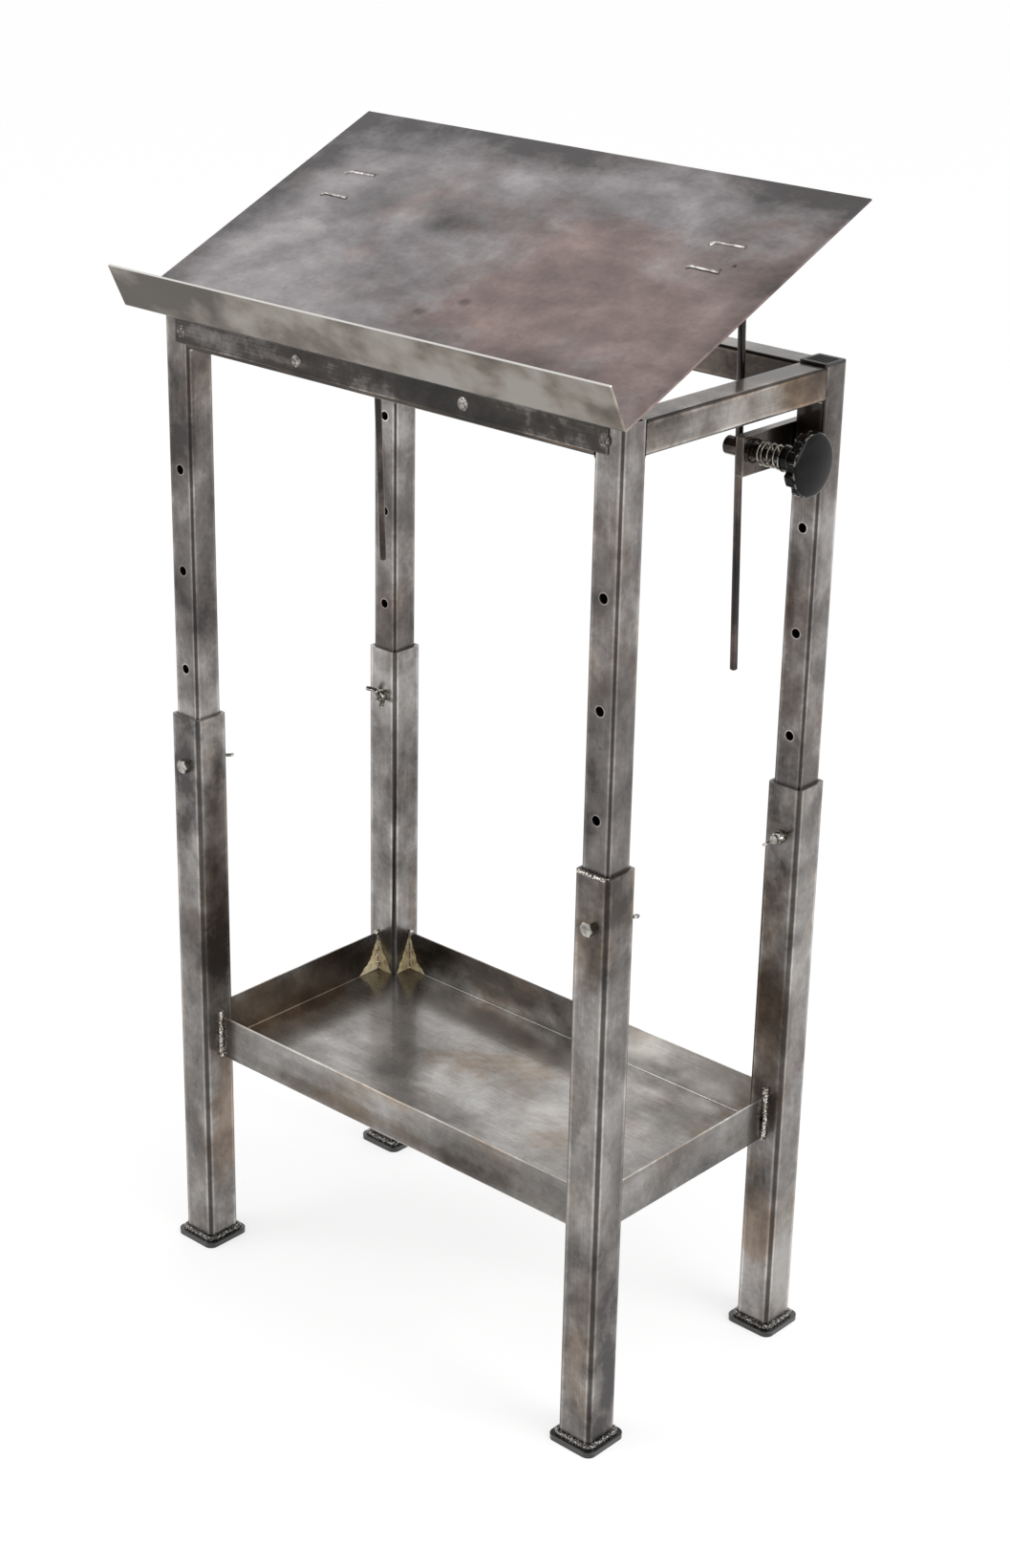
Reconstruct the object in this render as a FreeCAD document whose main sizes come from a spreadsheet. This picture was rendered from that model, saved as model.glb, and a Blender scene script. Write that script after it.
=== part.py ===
import FreeCAD, Part, Sketcher
import math, os, re
from FreeCAD import Placement, Rotation, Vector

# A standing desk of welded steel tube: four telescoping legs, a tray shelf, and a hinged
# sloping desk held by two bent rods that slide through swivelling clamps.
# X runs to the right, Y to the back, Z up. The origin is on the floor, under the middle.

SIZES = [
    ("leg_spacing_wide", 586.8, "leg centre to leg centre, left to right"),
    ("leg_spacing_deep", 307.87, "leg centre to leg centre, front to back"),
    ("inner_tube", 34.2, "outside of the inner legs and the rails"),
    ("inner_wall", 2.0, "wall of the inner tube"),
    ("inner_corner", 3.3, "outside corner radius of the inner tube"),
    ("outer_wall", 4.0, "wall of the outer legs"),
    ("outer_corner", 5.0, "outside corner radius of the outer legs"),
    ("slide_clearance", 0.45, "gap on each side of an inner leg"),
    ("outer_leg_length", 657.4, "foot plate to the open top of an outer leg"),
    ("foot_past_leg", 8.5, "foot plate beyond each side of its leg"),
    ("foot_thickness", 6.35, "thickness of a foot plate"),
    ("foot_corner", 9.5, "corner radius of a foot plate"),
    ("foot_edge", 1.0, "rounded upper edge of a foot plate"),
    ("frame_height", 1104.4, "foot plates to the top of the rails"),
    ("bolt_drop", 56.8, "top of an outer leg down to its bolt"),
    ("hole_pitch", 112.3, "between the height holes"),
    ("holes_above", 3, "height holes above the bolt"),
    ("holes_below", 2, "height holes below the bolt"),
    ("leg_tail", 31.0, "inner leg below its lowest hole"),
    ("hole_clearance", 0.39, "gap round a bolt in its hole"),
    ("bolt_diameter", 9.525, "leg bolt and clamp stud"),
    ("bolt_past_nut", 4.2, "end of a leg bolt beyond its nut"),
    ("bolt_shoulder", 2.3825, "bolt head beyond each side of its shank"),
    ("bolt_head", 6.0, "height of a bolt head"),
    ("thread_clearance", 0.2, "gap between a thread and its nut or barrel"),
    ("nut_wall", 2.7375, "wing nut hub round the bolt, at its base"),
    ("nut_wall_top", 1.4375, "wing nut hub round the bolt, at its top"),
    ("nut_height", 8.5, "height of a wing nut hub"),
    ("nut_wing_reach", 9.0, "wing tip beyond the base of the hub"),
    ("nut_wing_height", 15.5, "height of the wing tips"),
    ("nut_wing_thickness", 2.8, "thickness of a wing"),
    ("nut_turn_front_left", -4, "turn of this wing nut, in degrees"),
    ("nut_turn_front_right", 6, "turn of this wing nut, in degrees"),
    ("nut_turn_rear_left", 38, "turn of this wing nut, in degrees"),
    ("nut_turn_rear_right", -38, "turn of this wing nut, in degrees"),
    ("sheet", 1.9, "steel sheet of the desk and the tray"),
    ("bend_inside", 1.6, "inside radius of a sheet bend"),
    ("tray_height", 52.0, "height of the tray rim"),
    ("tray_bottom", 236.5, "foot plates to the underside of the tray"),
    ("tray_past_right", -0.2, "tray beyond the middle of the right legs"),
    ("tray_past_left", 7.2, "tray beyond the middle of the left legs"),
    ("tray_past_front", -2.535, "tray beyond the middle of the front legs"),
    ("tray_past_back", 6.865, "tray beyond the middle of the rear legs"),
    ("leaf_thickness", 1.5, "hinge leaves"),
    ("leaf_width", 28.0, "width of a hinge leaf from the axis"),
    ("hinge_offset", 3.0, "hinge axis to the outer face of a leaf"),
    ("pin_diameter", 2.8, "hinge pin"),
    ("knuckle_gap", 0.3, "gap round and between the knuckles"),
    ("pin_clearance", 0.1, "gap round the pin in the turning knuckles"),
    ("knuckle_count", 45, "knuckles of both leaves"),
    ("flat_gap", 0.3, "upper leaf above the rail when the desk is flat"),
    ("desk_angle", 24.0, "slope of the desk at rest"),
    ("desk_past_left", 65.1, "desk beyond the middle of the left legs"),
    ("desk_past_right", 28.1, "desk beyond the middle of the right legs"),
    ("desk_back_reach", 387.0, "hinge axis to the back edge of the desk"),
    ("fold_reach", 7.5, "hinge axis forward to the fold"),
    ("lip_height", 52.5, "height of the lip from the underside of the desk"),
    ("lip_lean", 2.0, "forward lean of the lip, in degrees"),
    ("desk_hole", 4.5, "small holes through the desk"),
    ("desk_hole_side", 4.0, "small holes outward of the rod"),
    ("desk_hole_step_wide", 10.0, "between the small holes, left to right"),
    ("desk_hole_step_deep", 10.0, "between the small holes, front to back"),
    ("bracket_side", 43.0, "side of a rod bracket"),
    ("bracket_thickness", 3.0, "plate of a rod bracket"),
    ("bracket_below", 8.0, "flange below the rod axis"),
    ("bracket_back", 14.0, "rod axis to the back edge of its bracket"),
    ("bracket_corner", 8.0, "rounded corners of the flange"),
    ("pivot_drop", 8.0, "rod axis under the hinge plane"),
    ("rod_diameter", 7.94, "stay rod"),
    ("rod_from_leg", 42.4, "middle of a rear leg inward to its stay rod"),
    ("rod_bend_inside", 1.53, "inside radius of the bend in a rod"),
    ("rod_length", 418.0, "rod axis to the lower end of a rod"),
    ("rod_chamfer", 1.2, "chamfer at the ends of a rod"),
    ("rod_clearance", 0.3, "gap round and beside the bent end"),
    ("rod_tail", 5.0, "bent end beyond the cotter pin"),
    ("rod_washer_rim", 2.23, "rod washer beyond each side of the rod"),
    ("washer_thickness", 1.6, "flat washers"),
    ("cotter_diameter", 2.0, "wire of a cotter pin"),
    ("cotter_eye", 6.0, "outside of the eye of a cotter pin"),
    ("cotter_leg", 4.0, "cotter pin beyond the rod"),
    ("rod_slide", 0.78, "gap round a rod in the cross hole of its barrel"),
    ("barrel_wall", 4.775, "barrel beyond each side of its cross hole"),
    ("barrel_end", 14.0, "cross hole to the inner end of a barrel"),
    ("barrel_neck_wall", 2.0375, "neck of a barrel round its threaded bore"),
    ("barrel_neck_reach", 9.0, "neck beyond the plate"),
    ("barrel_edge", 0.8, "chamfer of a barrel"),
    ("swivel_clearance", 0.3, "gap round and beside a barrel"),
    ("clamp_forward", 72.935, "middle of a rear leg forward to the clamp axis"),
    ("clamp_drop", 80.6, "top of the rails down to the clamp axis"),
    ("clamp_plate_thickness", 9.5, "clamp plate"),
    ("clamp_plate_height", 41.0, "clamp plate, top to bottom"),
    ("clamp_plate_front", 26.0, "clamp axis to the front edge of its plate"),
    ("clamp_plate_past", 11.065, "clamp plate beyond the middle of its rear leg"),
    ("clamp_plate_edge", 1.5, "rounded front corners of a clamp plate"),
    ("spring_length", 31.3, "clamp spring at rest"),
    ("spring_diameter", 25.0, "outside of a clamp spring"),
    ("spring_wire", 2.0, "wire of a clamp spring"),
    ("spring_coil_gap", 0.55, "gap between the closed coils"),
    ("spring_closed_quarters", 4, "quarter turns of closed coil"),
    ("spring_open_quarters", 11, "quarter turns of open coil"),
    ("spring_end_bend", 2.3, "bend radius of the wire ends"),
    ("spring_washer_rim", 1.0, "washer beyond each side of its spring"),
    ("knob_diameter", 65.0, "clamp knob over its lobes"),
    ("knob_lobes", 8, "lobes of a knob"),
    ("knob_flute", 17.0, "diameter of a finger flute"),
    ("knob_flute_depth", 4.2, "depth of a finger flute"),
    ("knob_rim", 15.0, "thickness of the rim of a knob"),
    ("knob_dome", 3.0, "height of the dome on its face"),
    ("knob_hub_length", 19.5, "hub behind the rim"),
    ("knob_hub_diameter", 25.0, "hub where it meets the washer"),
    ("knob_hub_flare", 36.0, "hub where it meets the rim"),
    ("knob_edge", 1.6, "rounded edges of the rim"),
    ("stud_in_knob", 24.0, "stud inside the knob"),
    ("stud_gap", 0.4, "stud tip to the rod"),
    ("cap_flange", 3.0, "flange of a leg cap"),
    ("cap_edge", 0.9, "rounded edge of a leg cap"),
    ("cap_rib_depth", 3.875, "core of a leg cap to the bore of its leg"),
    ("cap_tail", 1.2, "core of a leg cap beyond the start of its last rib"),
    ("cap_rib", 1.6, "thickness of a cap rib"),
    ("cap_rib_pitch", 5.2, "between the ribs of a cap"),
    ("cap_ribs", 4, "ribs of a cap"),
    ("cap_clearance", 0.1, "gap round the ribs of a cap"),
    ("overrun", 1.0, "how far a cut runs past a face"),
]

PLACES = [
    ("outer_tube", "inner_tube + 2 * (slide_clearance + outer_wall)"),
    ("inner_bore", "inner_tube - 2 * inner_wall"),
    ("outer_bore", "outer_tube - 2 * outer_wall"),
    ("inner_bore_corner", "max(inner_corner - inner_wall; inner_wall / 8)"),
    ("outer_bore_corner", "max(outer_corner - outer_wall; outer_wall / 8)"),
    ("foot_side", "outer_tube + 2 * foot_past_leg"),
    ("cap_core", "inner_bore - 2 * cap_rib_depth"),
    ("cap_depth", "cap_ribs * cap_rib_pitch + cap_tail"),
    ("leg_x", "leg_spacing_wide / 2"),
    ("leg_y", "leg_spacing_deep / 2"),
    ("bolt_height", "outer_leg_length - bolt_drop"),
    ("bolt_length", "outer_tube + nut_height + bolt_past_nut"),
    ("bolt_flats", "bolt_diameter + 2 * bolt_shoulder"),
    ("nut_bore_radius", "bolt_diameter / 2 + thread_clearance"),
    ("nut_hub", "bolt_diameter + 2 * nut_wall"),
    ("nut_hub_top", "bolt_diameter + 2 * nut_wall_top"),
    ("nut_span", "nut_hub + 2 * nut_wing_reach"),
    ("lowest_hole", "bolt_height - holes_below * hole_pitch"),
    ("inner_leg_bottom", "lowest_hole - leg_tail"),
    ("inner_leg_length", "frame_height - inner_leg_bottom"),
    ("bolt_hole", "bolt_diameter + 2 * hole_clearance"),
    ("rail_wide", "leg_spacing_wide - inner_tube"),
    ("rail_deep", "leg_spacing_deep - inner_tube"),
    ("rail_middle", "frame_height - inner_tube / 2"),
    ("rail_front", "leg_y + inner_tube / 2"),
    ("tray_right", "leg_x + tray_past_right"),
    ("tray_left", "leg_x + tray_past_left"),
    ("tray_front", "leg_y + tray_past_front"),
    ("tray_back", "leg_y + tray_past_back"),
    ("lower_knuckles", "ceil(knuckle_count / 2)"),
    ("upper_knuckles", "floor(knuckle_count / 2)"),
    ("hinge_y", "-(rail_front + hinge_offset)"),
    ("hinge_z", "frame_height + flat_gap - hinge_offset + leaf_thickness"),
    ("knuckle_radius", "hinge_offset - knuckle_gap"),
    ("knuckle_pitch", "leg_spacing_wide / knuckle_count"),
    ("knuckle_length", "knuckle_pitch - knuckle_gap"),
    ("strip_start", "knuckle_radius + knuckle_gap"),
    ("desk_left", "leg_x + desk_past_left"),
    ("desk_right", "leg_x + desk_past_right"),
    ("desk_bottom", "hinge_offset"),
    ("desk_surface", "hinge_offset + sheet"),
    ("lip_shift", "lip_height * tan(lip_lean * 1 deg)"),
    ("lip_top", "desk_bottom + lip_height"),
    ("desk_cos", "cos(desk_angle * 1 deg)"),
    ("desk_sin", "sin(desk_angle * 1 deg)"),
    ("lip_front_y", "hinge_y - (fold_reach + lip_shift) * desk_cos - lip_top * desk_sin"),
    ("desk_back_y", "hinge_y + desk_back_reach * desk_cos - desk_bottom * desk_sin"),
    ("clamp_back", "leg_y - clamp_forward"),
    ("clamp_height", "frame_height - clamp_drop"),
    ("clamp_plate_end", "leg_y + clamp_plate_past"),
    ("clamp_behind_hinge", "clamp_back - hinge_y"),
    ("clamp_under_hinge", "hinge_z - clamp_height"),
    ("pivot_reach", "sqrt(pow(clamp_behind_hinge; 2) + pow(clamp_under_hinge; 2)"
                    " - pow(pivot_drop; 2))"),
    ("pivot_y", "hinge_y + pivot_reach * desk_cos + pivot_drop * desk_sin"),
    ("pivot_z", "hinge_z + pivot_reach * desk_sin - pivot_drop * desk_cos"),
    ("rod_lean", "atan((clamp_back - pivot_y) / (pivot_z - clamp_height)) / 1 deg"),
    ("rod_offset", "leg_x - rod_from_leg"),
    ("rod_bend", "rod_diameter / 2 + rod_bend_inside"),
    ("rod_washer", "rod_diameter + 2 * rod_washer_rim"),
    ("bracket_drop", "desk_bottom + pivot_drop + bracket_below"),
    ("flange_gap", "rod_bend + rod_clearance"),
    ("barrel_hole", "rod_diameter + 2 * rod_slide"),
    ("barrel_diameter", "barrel_hole + 2 * barrel_wall"),
    ("plate_inside", "leg_x - inner_tube / 2 - clamp_plate_thickness"),
    ("plate_outside", "leg_x - inner_tube / 2"),
    ("shoulder", "plate_inside - swivel_clearance - rod_offset"),
    ("neck_end", "plate_outside + barrel_neck_reach - rod_offset"),
    ("stud_bore", "bolt_diameter + 2 * thread_clearance"),
    ("barrel_neck", "stud_bore + 2 * barrel_neck_wall"),
    ("spring_washer_diameter", "spring_diameter + 2 * spring_washer_rim"),
    ("washer_inside", "plate_outside + spring_length"),
    ("washer_bore", "bolt_diameter + 2 * swivel_clearance"),
    ("knob_start", "washer_inside + washer_thickness"),
    ("knob_length", "knob_hub_length + knob_rim + knob_dome"),
    ("knob_face", "knob_start + knob_length"),
    ("stud_tip", "rod_offset + rod_diameter / 2 + stud_gap"),
    ("stud_length", "knob_start + stud_in_knob - stud_tip"),
    ("flute_centre", "knob_diameter / 2 - knob_flute_depth + knob_flute / 2"),
    ("shift_x", "(max(desk_left; knob_face) - max(desk_right; knob_face)) / 2"),
    ("shift_y", "-(lip_front_y + max(leg_y + foot_side / 2; desk_back_y)) / 2"),
]

doc = FreeCAD.newDocument("StandingDesk")
sizes = doc.addObject("Spreadsheet::Sheet", "Sizes")
for row, (name, number, note) in enumerate(SIZES, start=1):
    sizes.set("A%d" % row, str(number))
    sizes.setAlias("A%d" % row, name)
    sizes.set("B%d" % row, note)
SIZE_NAMES = {name for name, number, note in SIZES}
PLACE_NAMES = {name for name, expression in PLACES}


def full(expression):
    """The expression with its sheet's name in front of each named value."""
    def with_sheet(match):
        word = match.group(0)
        if word in SIZE_NAMES:
            return "Sizes." + word
        if word in PLACE_NAMES:
            return "Places." + word
        return word
    return re.sub(r"[A-Za-z_]+", with_sheet, expression)


# The second sheet holds what follows from the driving sizes.
places = doc.addObject("Spreadsheet::Sheet", "Places")
for row, (name, expression) in enumerate(PLACES, start=1):
    places.setAlias("A%d" % row, name)
for row, (name, expression) in enumerate(PLACES, start=1):
    places.set("A%d" % row, "=" + full(expression).replace("Places.", ""))
doc.recompute()


def value(expression):
    """The number that an expression comes to, in millimetres or degrees."""
    return float(places.evalExpression(full(expression)))


def bind(thing, path, expression):
    thing.setExpression(path, full(expression))


def place(thing, x, y, z, angle="0", axis=(1, 0, 0)):
    """Sets a piece in the frame, whose X and Y start at the middle of the legs."""
    thing.Placement = Placement(Vector(0, 0, 0), Rotation(Vector(*axis), value(angle)))
    bind(thing, "Placement.Base.x", "shift_x + (%s)" % x)
    bind(thing, "Placement.Base.y", "shift_y + (%s)" % y)
    bind(thing, "Placement.Base.z", "foot_thickness + (%s)" % z)
    if angle != "0":
        bind(thing, "Placement.Rotation.Angle", angle)


# Sketches and features

def new_body(label):
    body = doc.addObject("PartDesign::Body", label)
    body.Label = label
    return body


def axis_of(body, role):
    return next(item for item in body.Origin.OriginFeatures if item.Role == role)


def sketch_on(body, role, lift="0"):
    """A sketch on one of the body's own planes, lifted along the plane's normal."""
    sketch = body.newObject("Sketcher::SketchObject", body.Label + "_sketch")
    sketch.AttachmentSupport = [(axis_of(body, role), "")]
    sketch.MapMode = "FlatFace"
    if lift != "0":
        bind(sketch, "AttachmentOffset.Base.z", lift)
    return sketch


def fix_point(sketch, geometry, point, x, y):
    """Ties a point of the sketch to its two coordinates."""
    for kind, expression, axis in (("DistanceX", x, -2), ("DistanceY", y, -1)):
        if expression == "0":
            sketch.addConstraint(Sketcher.Constraint("PointOnObject", geometry, point, axis))
            continue
        rule = Sketcher.Constraint(kind, geometry, point, value(expression))
        bind(sketch, "Constraints[%d]" % sketch.addConstraint(rule), expression)


def outline(sketch, points):
    """A closed outline of straight lines through points given as expressions."""
    corners = [Vector(value(x), value(y), 0) for x, y in points]
    count = len(points)
    first = sketch.GeometryCount
    for i in range(count):
        sketch.addGeometry(Part.LineSegment(corners[i], corners[(i + 1) % count]))
    for i in range(count):
        following = first + (i + 1) % count
        sketch.addConstraint(Sketcher.Constraint("Coincident", first + i, 2, following, 1))
        fix_point(sketch, first + i, 1, *points[i])
    return sketch


def rectangle(sketch, left, right, low, high):
    return outline(sketch, [(left, low), (right, low), (right, high), (left, high)])


def square(sketch, side):
    half = "(%s) / 2" % side
    return rectangle(sketch, "-" + half, half, "-" + half, half)


def circle(sketch, diameter, x="0", y="0"):
    centre = Vector(value(x), value(y), 0)
    number = value(diameter)
    index = sketch.addGeometry(Part.Circle(centre, Vector(0, 0, 1), number / 2))
    rule = Sketcher.Constraint("Diameter", index, number)
    bind(sketch, "Constraints[%d]" % sketch.addConstraint(rule), diameter)
    fix_point(sketch, index, 3, x, y)
    return sketch


def pad(body, sketch, length, middle=False, back=False):
    feature = body.newObject("PartDesign::Pad", body.Label + "_pad")
    feature.Profile = sketch
    feature.Midplane = middle
    feature.Reversed = back
    bind(feature, "Length", length)
    return feature


def pocket(body, sketch, length=None, middle=False, back=False):
    """Cuts the sketch out, right through where no length is given."""
    feature = body.newObject("PartDesign::Pocket", body.Label + "_pocket")
    feature.Profile = sketch
    feature.Midplane = middle
    feature.Reversed = back
    if length is None:
        feature.Type = "ThroughAll"
    else:
        bind(feature, "Length", length)
    return feature


def repeat(body, kind, features, role, settings):
    """A pattern of features along or round one of the body's own axes."""
    pattern = body.newObject("PartDesign::" + kind, body.Label + "_pattern")
    pattern.Originals = features
    if kind == "LinearPattern":
        pattern.Direction = (axis_of(body, role), [""])
    else:
        pattern.Axis = (axis_of(body, role), [""])
    for path, expression in settings.items():
        bind(pattern, path, expression)
    body.Tip = pattern
    return pattern


def dress(body, kind, path, size, chosen):
    """A fillet or a chamfer on the edges of the body's last feature that are chosen."""
    doc.recompute()
    base = body.Tip
    names = ["Edge%d" % (i + 1) for i, edge in enumerate(base.Shape.Edges) if chosen(edge)]
    feature = body.newObject("PartDesign::" + kind, body.Label + "_edge")
    feature.Base = (base, names)
    bind(feature, path, size)
    return feature


def fillet(body, radius, chosen):
    return dress(body, "Fillet", "Radius", radius, chosen)


def chamfer(body, size, chosen):
    return dress(body, "Chamfer", "Size", size, chosen)


def near(a, b):
    return abs(a - b) < 1e-4


def runs_along(edge, axis):
    """Whether a straight edge runs along an axis of its body."""
    if not isinstance(edge.Curve, (Part.Line, Part.LineSegment)):
        return False
    span = edge.Vertexes[-1].Point - edge.Vertexes[0].Point
    return near(abs(span[axis]), span.Length)


def at(edge, axis, place):
    return near(edge.CenterOfMass[axis], value(place))


# Tubes, plates and fasteners that are made more than once

def tube(label, side, corner, bore, bore_corner, length):
    """A square tube that stands on the origin and runs up Z."""
    body = new_body(label)
    pad(body, square(sketch_on(body, "XY_Plane"), side), length)
    fillet(body, corner, lambda edge: runs_along(edge, 2))
    pocket(body, square(sketch_on(body, "XY_Plane"), bore), back=True)
    half_bore = value(bore) / 2
    fillet(body, bore_corner, lambda edge: runs_along(edge, 2)
           and near(abs(edge.CenterOfMass.x), half_bore)
           and near(abs(edge.CenterOfMass.y), half_bore))
    return body


def inner_tube(label, length):
    return tube(label, "inner_tube", "inner_corner", "inner_bore", "inner_bore_corner", length)


def outer_leg(label):
    body = tube(label, "outer_tube", "outer_corner", "outer_bore", "outer_bore_corner",
                "outer_leg_length")
    pocket(body, circle(sketch_on(body, "XZ_Plane"), "bolt_hole", "0", "bolt_height"),
           middle=True)
    return body


def inner_leg(label):
    """The sliding leg, with its row of height holes from front to back."""
    body = inner_tube(label, "inner_leg_length")
    hole = pocket(body, circle(sketch_on(body, "XZ_Plane"), "bolt_hole", "0", "leg_tail"),
                  middle=True)
    repeat(body, "LinearPattern", [hole], "Z_Axis", {
        "Length": "(holes_below + holes_above) * hole_pitch",
        "Occurrences": "holes_below + holes_above + 1"})
    return body


def foot_plate(label):
    body = new_body(label)
    pad(body, square(sketch_on(body, "XY_Plane"), "foot_side"), "foot_thickness")
    fillet(body, "foot_corner", lambda edge: runs_along(edge, 2))
    fillet(body, "foot_edge", lambda edge: at(edge, 2, "foot_thickness"))
    return body


def leg_cap(label):
    """A plastic cap whose ribs grip the inside of a leg; its flange sits on the leg."""
    body = new_body(label)
    pad(body, square(sketch_on(body, "XY_Plane"), "inner_tube"), "cap_flange")
    fillet(body, "inner_corner", lambda edge: runs_along(edge, 2))
    fillet(body, "cap_edge", lambda edge: at(edge, 2, "cap_flange"))
    pad(body, square(sketch_on(body, "XY_Plane"), "cap_core"), "cap_depth", back=True)
    rib_sketch = sketch_on(body, "XY_Plane", "-cap_rib_pitch")
    rib = pad(body, square(rib_sketch, "inner_bore - 2 * cap_clearance"), "cap_rib", back=True)
    repeat(body, "LinearPattern", [rib], "Z_Axis", {
        "Length": "(cap_ribs - 1) * cap_rib_pitch", "Occurrences": "cap_ribs"})
    body.Tip.Reversed = True
    rib_half = value("inner_bore / 2 - cap_clearance")
    fillet(body, "inner_bore_corner", lambda edge: runs_along(edge, 2)
           and near(abs(edge.CenterOfMass.x), rib_half)
           and near(abs(edge.CenterOfMass.y), rib_half))
    return body


def hinge_leaf(label, first, count):
    """A leaf of the long hinge: the axis runs along X, the leaf along Y at its own offset."""
    body = new_body(label)
    top, under = "hinge_offset", "hinge_offset - leaf_thickness"
    pad(body, rectangle(sketch_on(body, "YZ_Plane"), "strip_start", "leaf_width", under, top),
        "leg_spacing_wide")
    start = "%d * knuckle_pitch + knuckle_gap / 2" % first
    roll = pad(body, circle(sketch_on(body, "YZ_Plane", start), "2 * knuckle_radius"),
               "knuckle_length")
    neck_sketch = sketch_on(body, "YZ_Plane", start)
    neck = pad(body, outline(neck_sketch, [
        ("0", "pin_diameter / 2 + pin_clearance"), ("strip_start", under),
        ("strip_start + overrun", under), ("strip_start + overrun", top),
        ("strip_start", top), ("0", "knuckle_radius")]), "knuckle_length")
    repeat(body, "LinearPattern", [roll, neck], "X_Axis", {
        "Length": "(%s - 1) * 2 * knuckle_pitch" % count, "Occurrences": count})
    play = "pin_clearance" if first else "0"
    pocket(body, circle(sketch_on(body, "YZ_Plane", "-overrun"),
                        "pin_diameter + 2 * %s" % play), back=True)
    return body


def hex_bolt(label):
    """A bolt along Z: the head stands on the origin, the shank runs down."""
    head = doc.addObject("Part::Prism", label + "_head")
    head.Polygon = 6
    bind(head, "Circumradius", "bolt_flats / 2 / cos(30 deg)")
    bind(head, "Height", "bolt_head")
    crown = doc.addObject("Part::Cone", label + "_crown")
    bind(crown, "Radius1", "bolt_flats / 2 / cos(30 deg) + bolt_head")
    bind(crown, "Radius2", "bolt_flats / 2")
    bind(crown, "Height", "bolt_head")
    rounded = doc.addObject("Part::Common", label + "_rounded")
    rounded.Base = head
    rounded.Tool = crown
    shank = doc.addObject("Part::Cylinder", label + "_shank")
    bind(shank, "Radius", "bolt_diameter / 2")
    bind(shank, "Height", "bolt_length")
    bind(shank, "Placement.Base.z", "-bolt_length")
    bolt = doc.addObject("Part::Fuse", label)
    bolt.Base = rounded
    bolt.Tool = shank
    bolt.Label = label
    return bolt


# The outline of a wing: at each point, a width and its share, then a height and its share
WING_SHARES = [
    ("nut_bore_radius", 1, "nut_height", 0.1), ("nut_hub", 0.5, "nut_height", 0.1),
    ("nut_span", 0.36, "nut_height", 0.6), ("nut_span", 0.5, "nut_wing_height", 0.72),
    ("nut_span", 0.49, "nut_wing_height", 0.92), ("nut_span", 0.43, "nut_wing_height", 1),
    ("nut_span", 0.36, "nut_wing_height", 0.94), ("nut_span", 0.24, "nut_height", 0.98),
    ("nut_bore_radius", 1, "nut_height", 0.9)]


def wing_nut(label, way):
    """A wing nut on the origin with its wings along X; way is the sign of its side on Y."""
    body = new_body(label)
    height = way + "nut_height"
    hub = body.newObject("PartDesign::Revolution", label + "_hub")
    hub.Profile = outline(sketch_on(body, "XY_Plane"), [
        ("0", "0"), ("nut_hub / 2", "0"), ("nut_hub_top / 2", height), ("0", height)])
    hub.ReferenceAxis = (axis_of(body, "Y_Axis"), [""])
    hub.Angle = 360
    for side in ("", "-"):
        wing = outline(sketch_on(body, "XY_Plane"), [
            ("%s%s * %g" % (side, width, out), "%s%s * %g" % (way, rise, up))
            for width, out, rise, up in WING_SHARES])
        pad(body, wing, "nut_wing_thickness", middle=True)
    pocket(body, circle(sketch_on(body, "XZ_Plane"), "2 * nut_bore_radius"), middle=True)
    return body


# Legs: a foot plate, an outer leg, a sliding inner leg, a bolt and a wing nut at each corner

CORNERS = {"front_left": ("-", "-"), "front_right": ("", "-"),
           "rear_left": ("-", ""), "rear_right": ("", "")}

for corner, (side_x, side_y) in CORNERS.items():
    x, y = side_x + "leg_x", side_y + "leg_y"
    place(foot_plate("foot_plate_" + corner), x, y, "-foot_thickness")
    place(outer_leg("outer_leg_" + corner), x, y, "0")
    place(inner_leg("inner_leg_" + corner), x, y, "inner_leg_bottom")
    # Each bolt head is on the outer face of its leg, and the wing nut on the inner face.
    inward = "" if side_y == "-" else "-"
    outward = "-" if side_y == "-" else ""
    face = "outer_tube / 2"
    place(hex_bolt("leg_bolt_" + corner), x, y + outward + face if outward else y + "+" + face,
          "bolt_height", inward + "90")
    place(wing_nut("wing_nut_" + corner, inward), x,
          y + inward + face if inward else y + "+" + face, "bolt_height",
          "nut_turn_" + corner, (0, 1, 0))

# Rails between the tops of the inner legs

for label, side in (("rail_front", "-"), ("rail_rear", "")):
    place(inner_tube(label, "rail_wide"), "-rail_wide / 2", side + "leg_y", "rail_middle",
          "90", (0, 1, 0))
for label, side in (("rail_left", "-"), ("rail_right", "")):
    place(inner_tube(label, "rail_deep"), side + "leg_x", "rail_deep / 2", "rail_middle",
          "90", (1, 0, 0))

for label, side in (("leg_cap_rear_left", "-"), ("leg_cap_rear_right", "")):
    place(leg_cap(label), side + "leg_x", "leg_y", "frame_height")

# Tray shelf: folded sheet, notched round the legs, its rims butted against them

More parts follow.
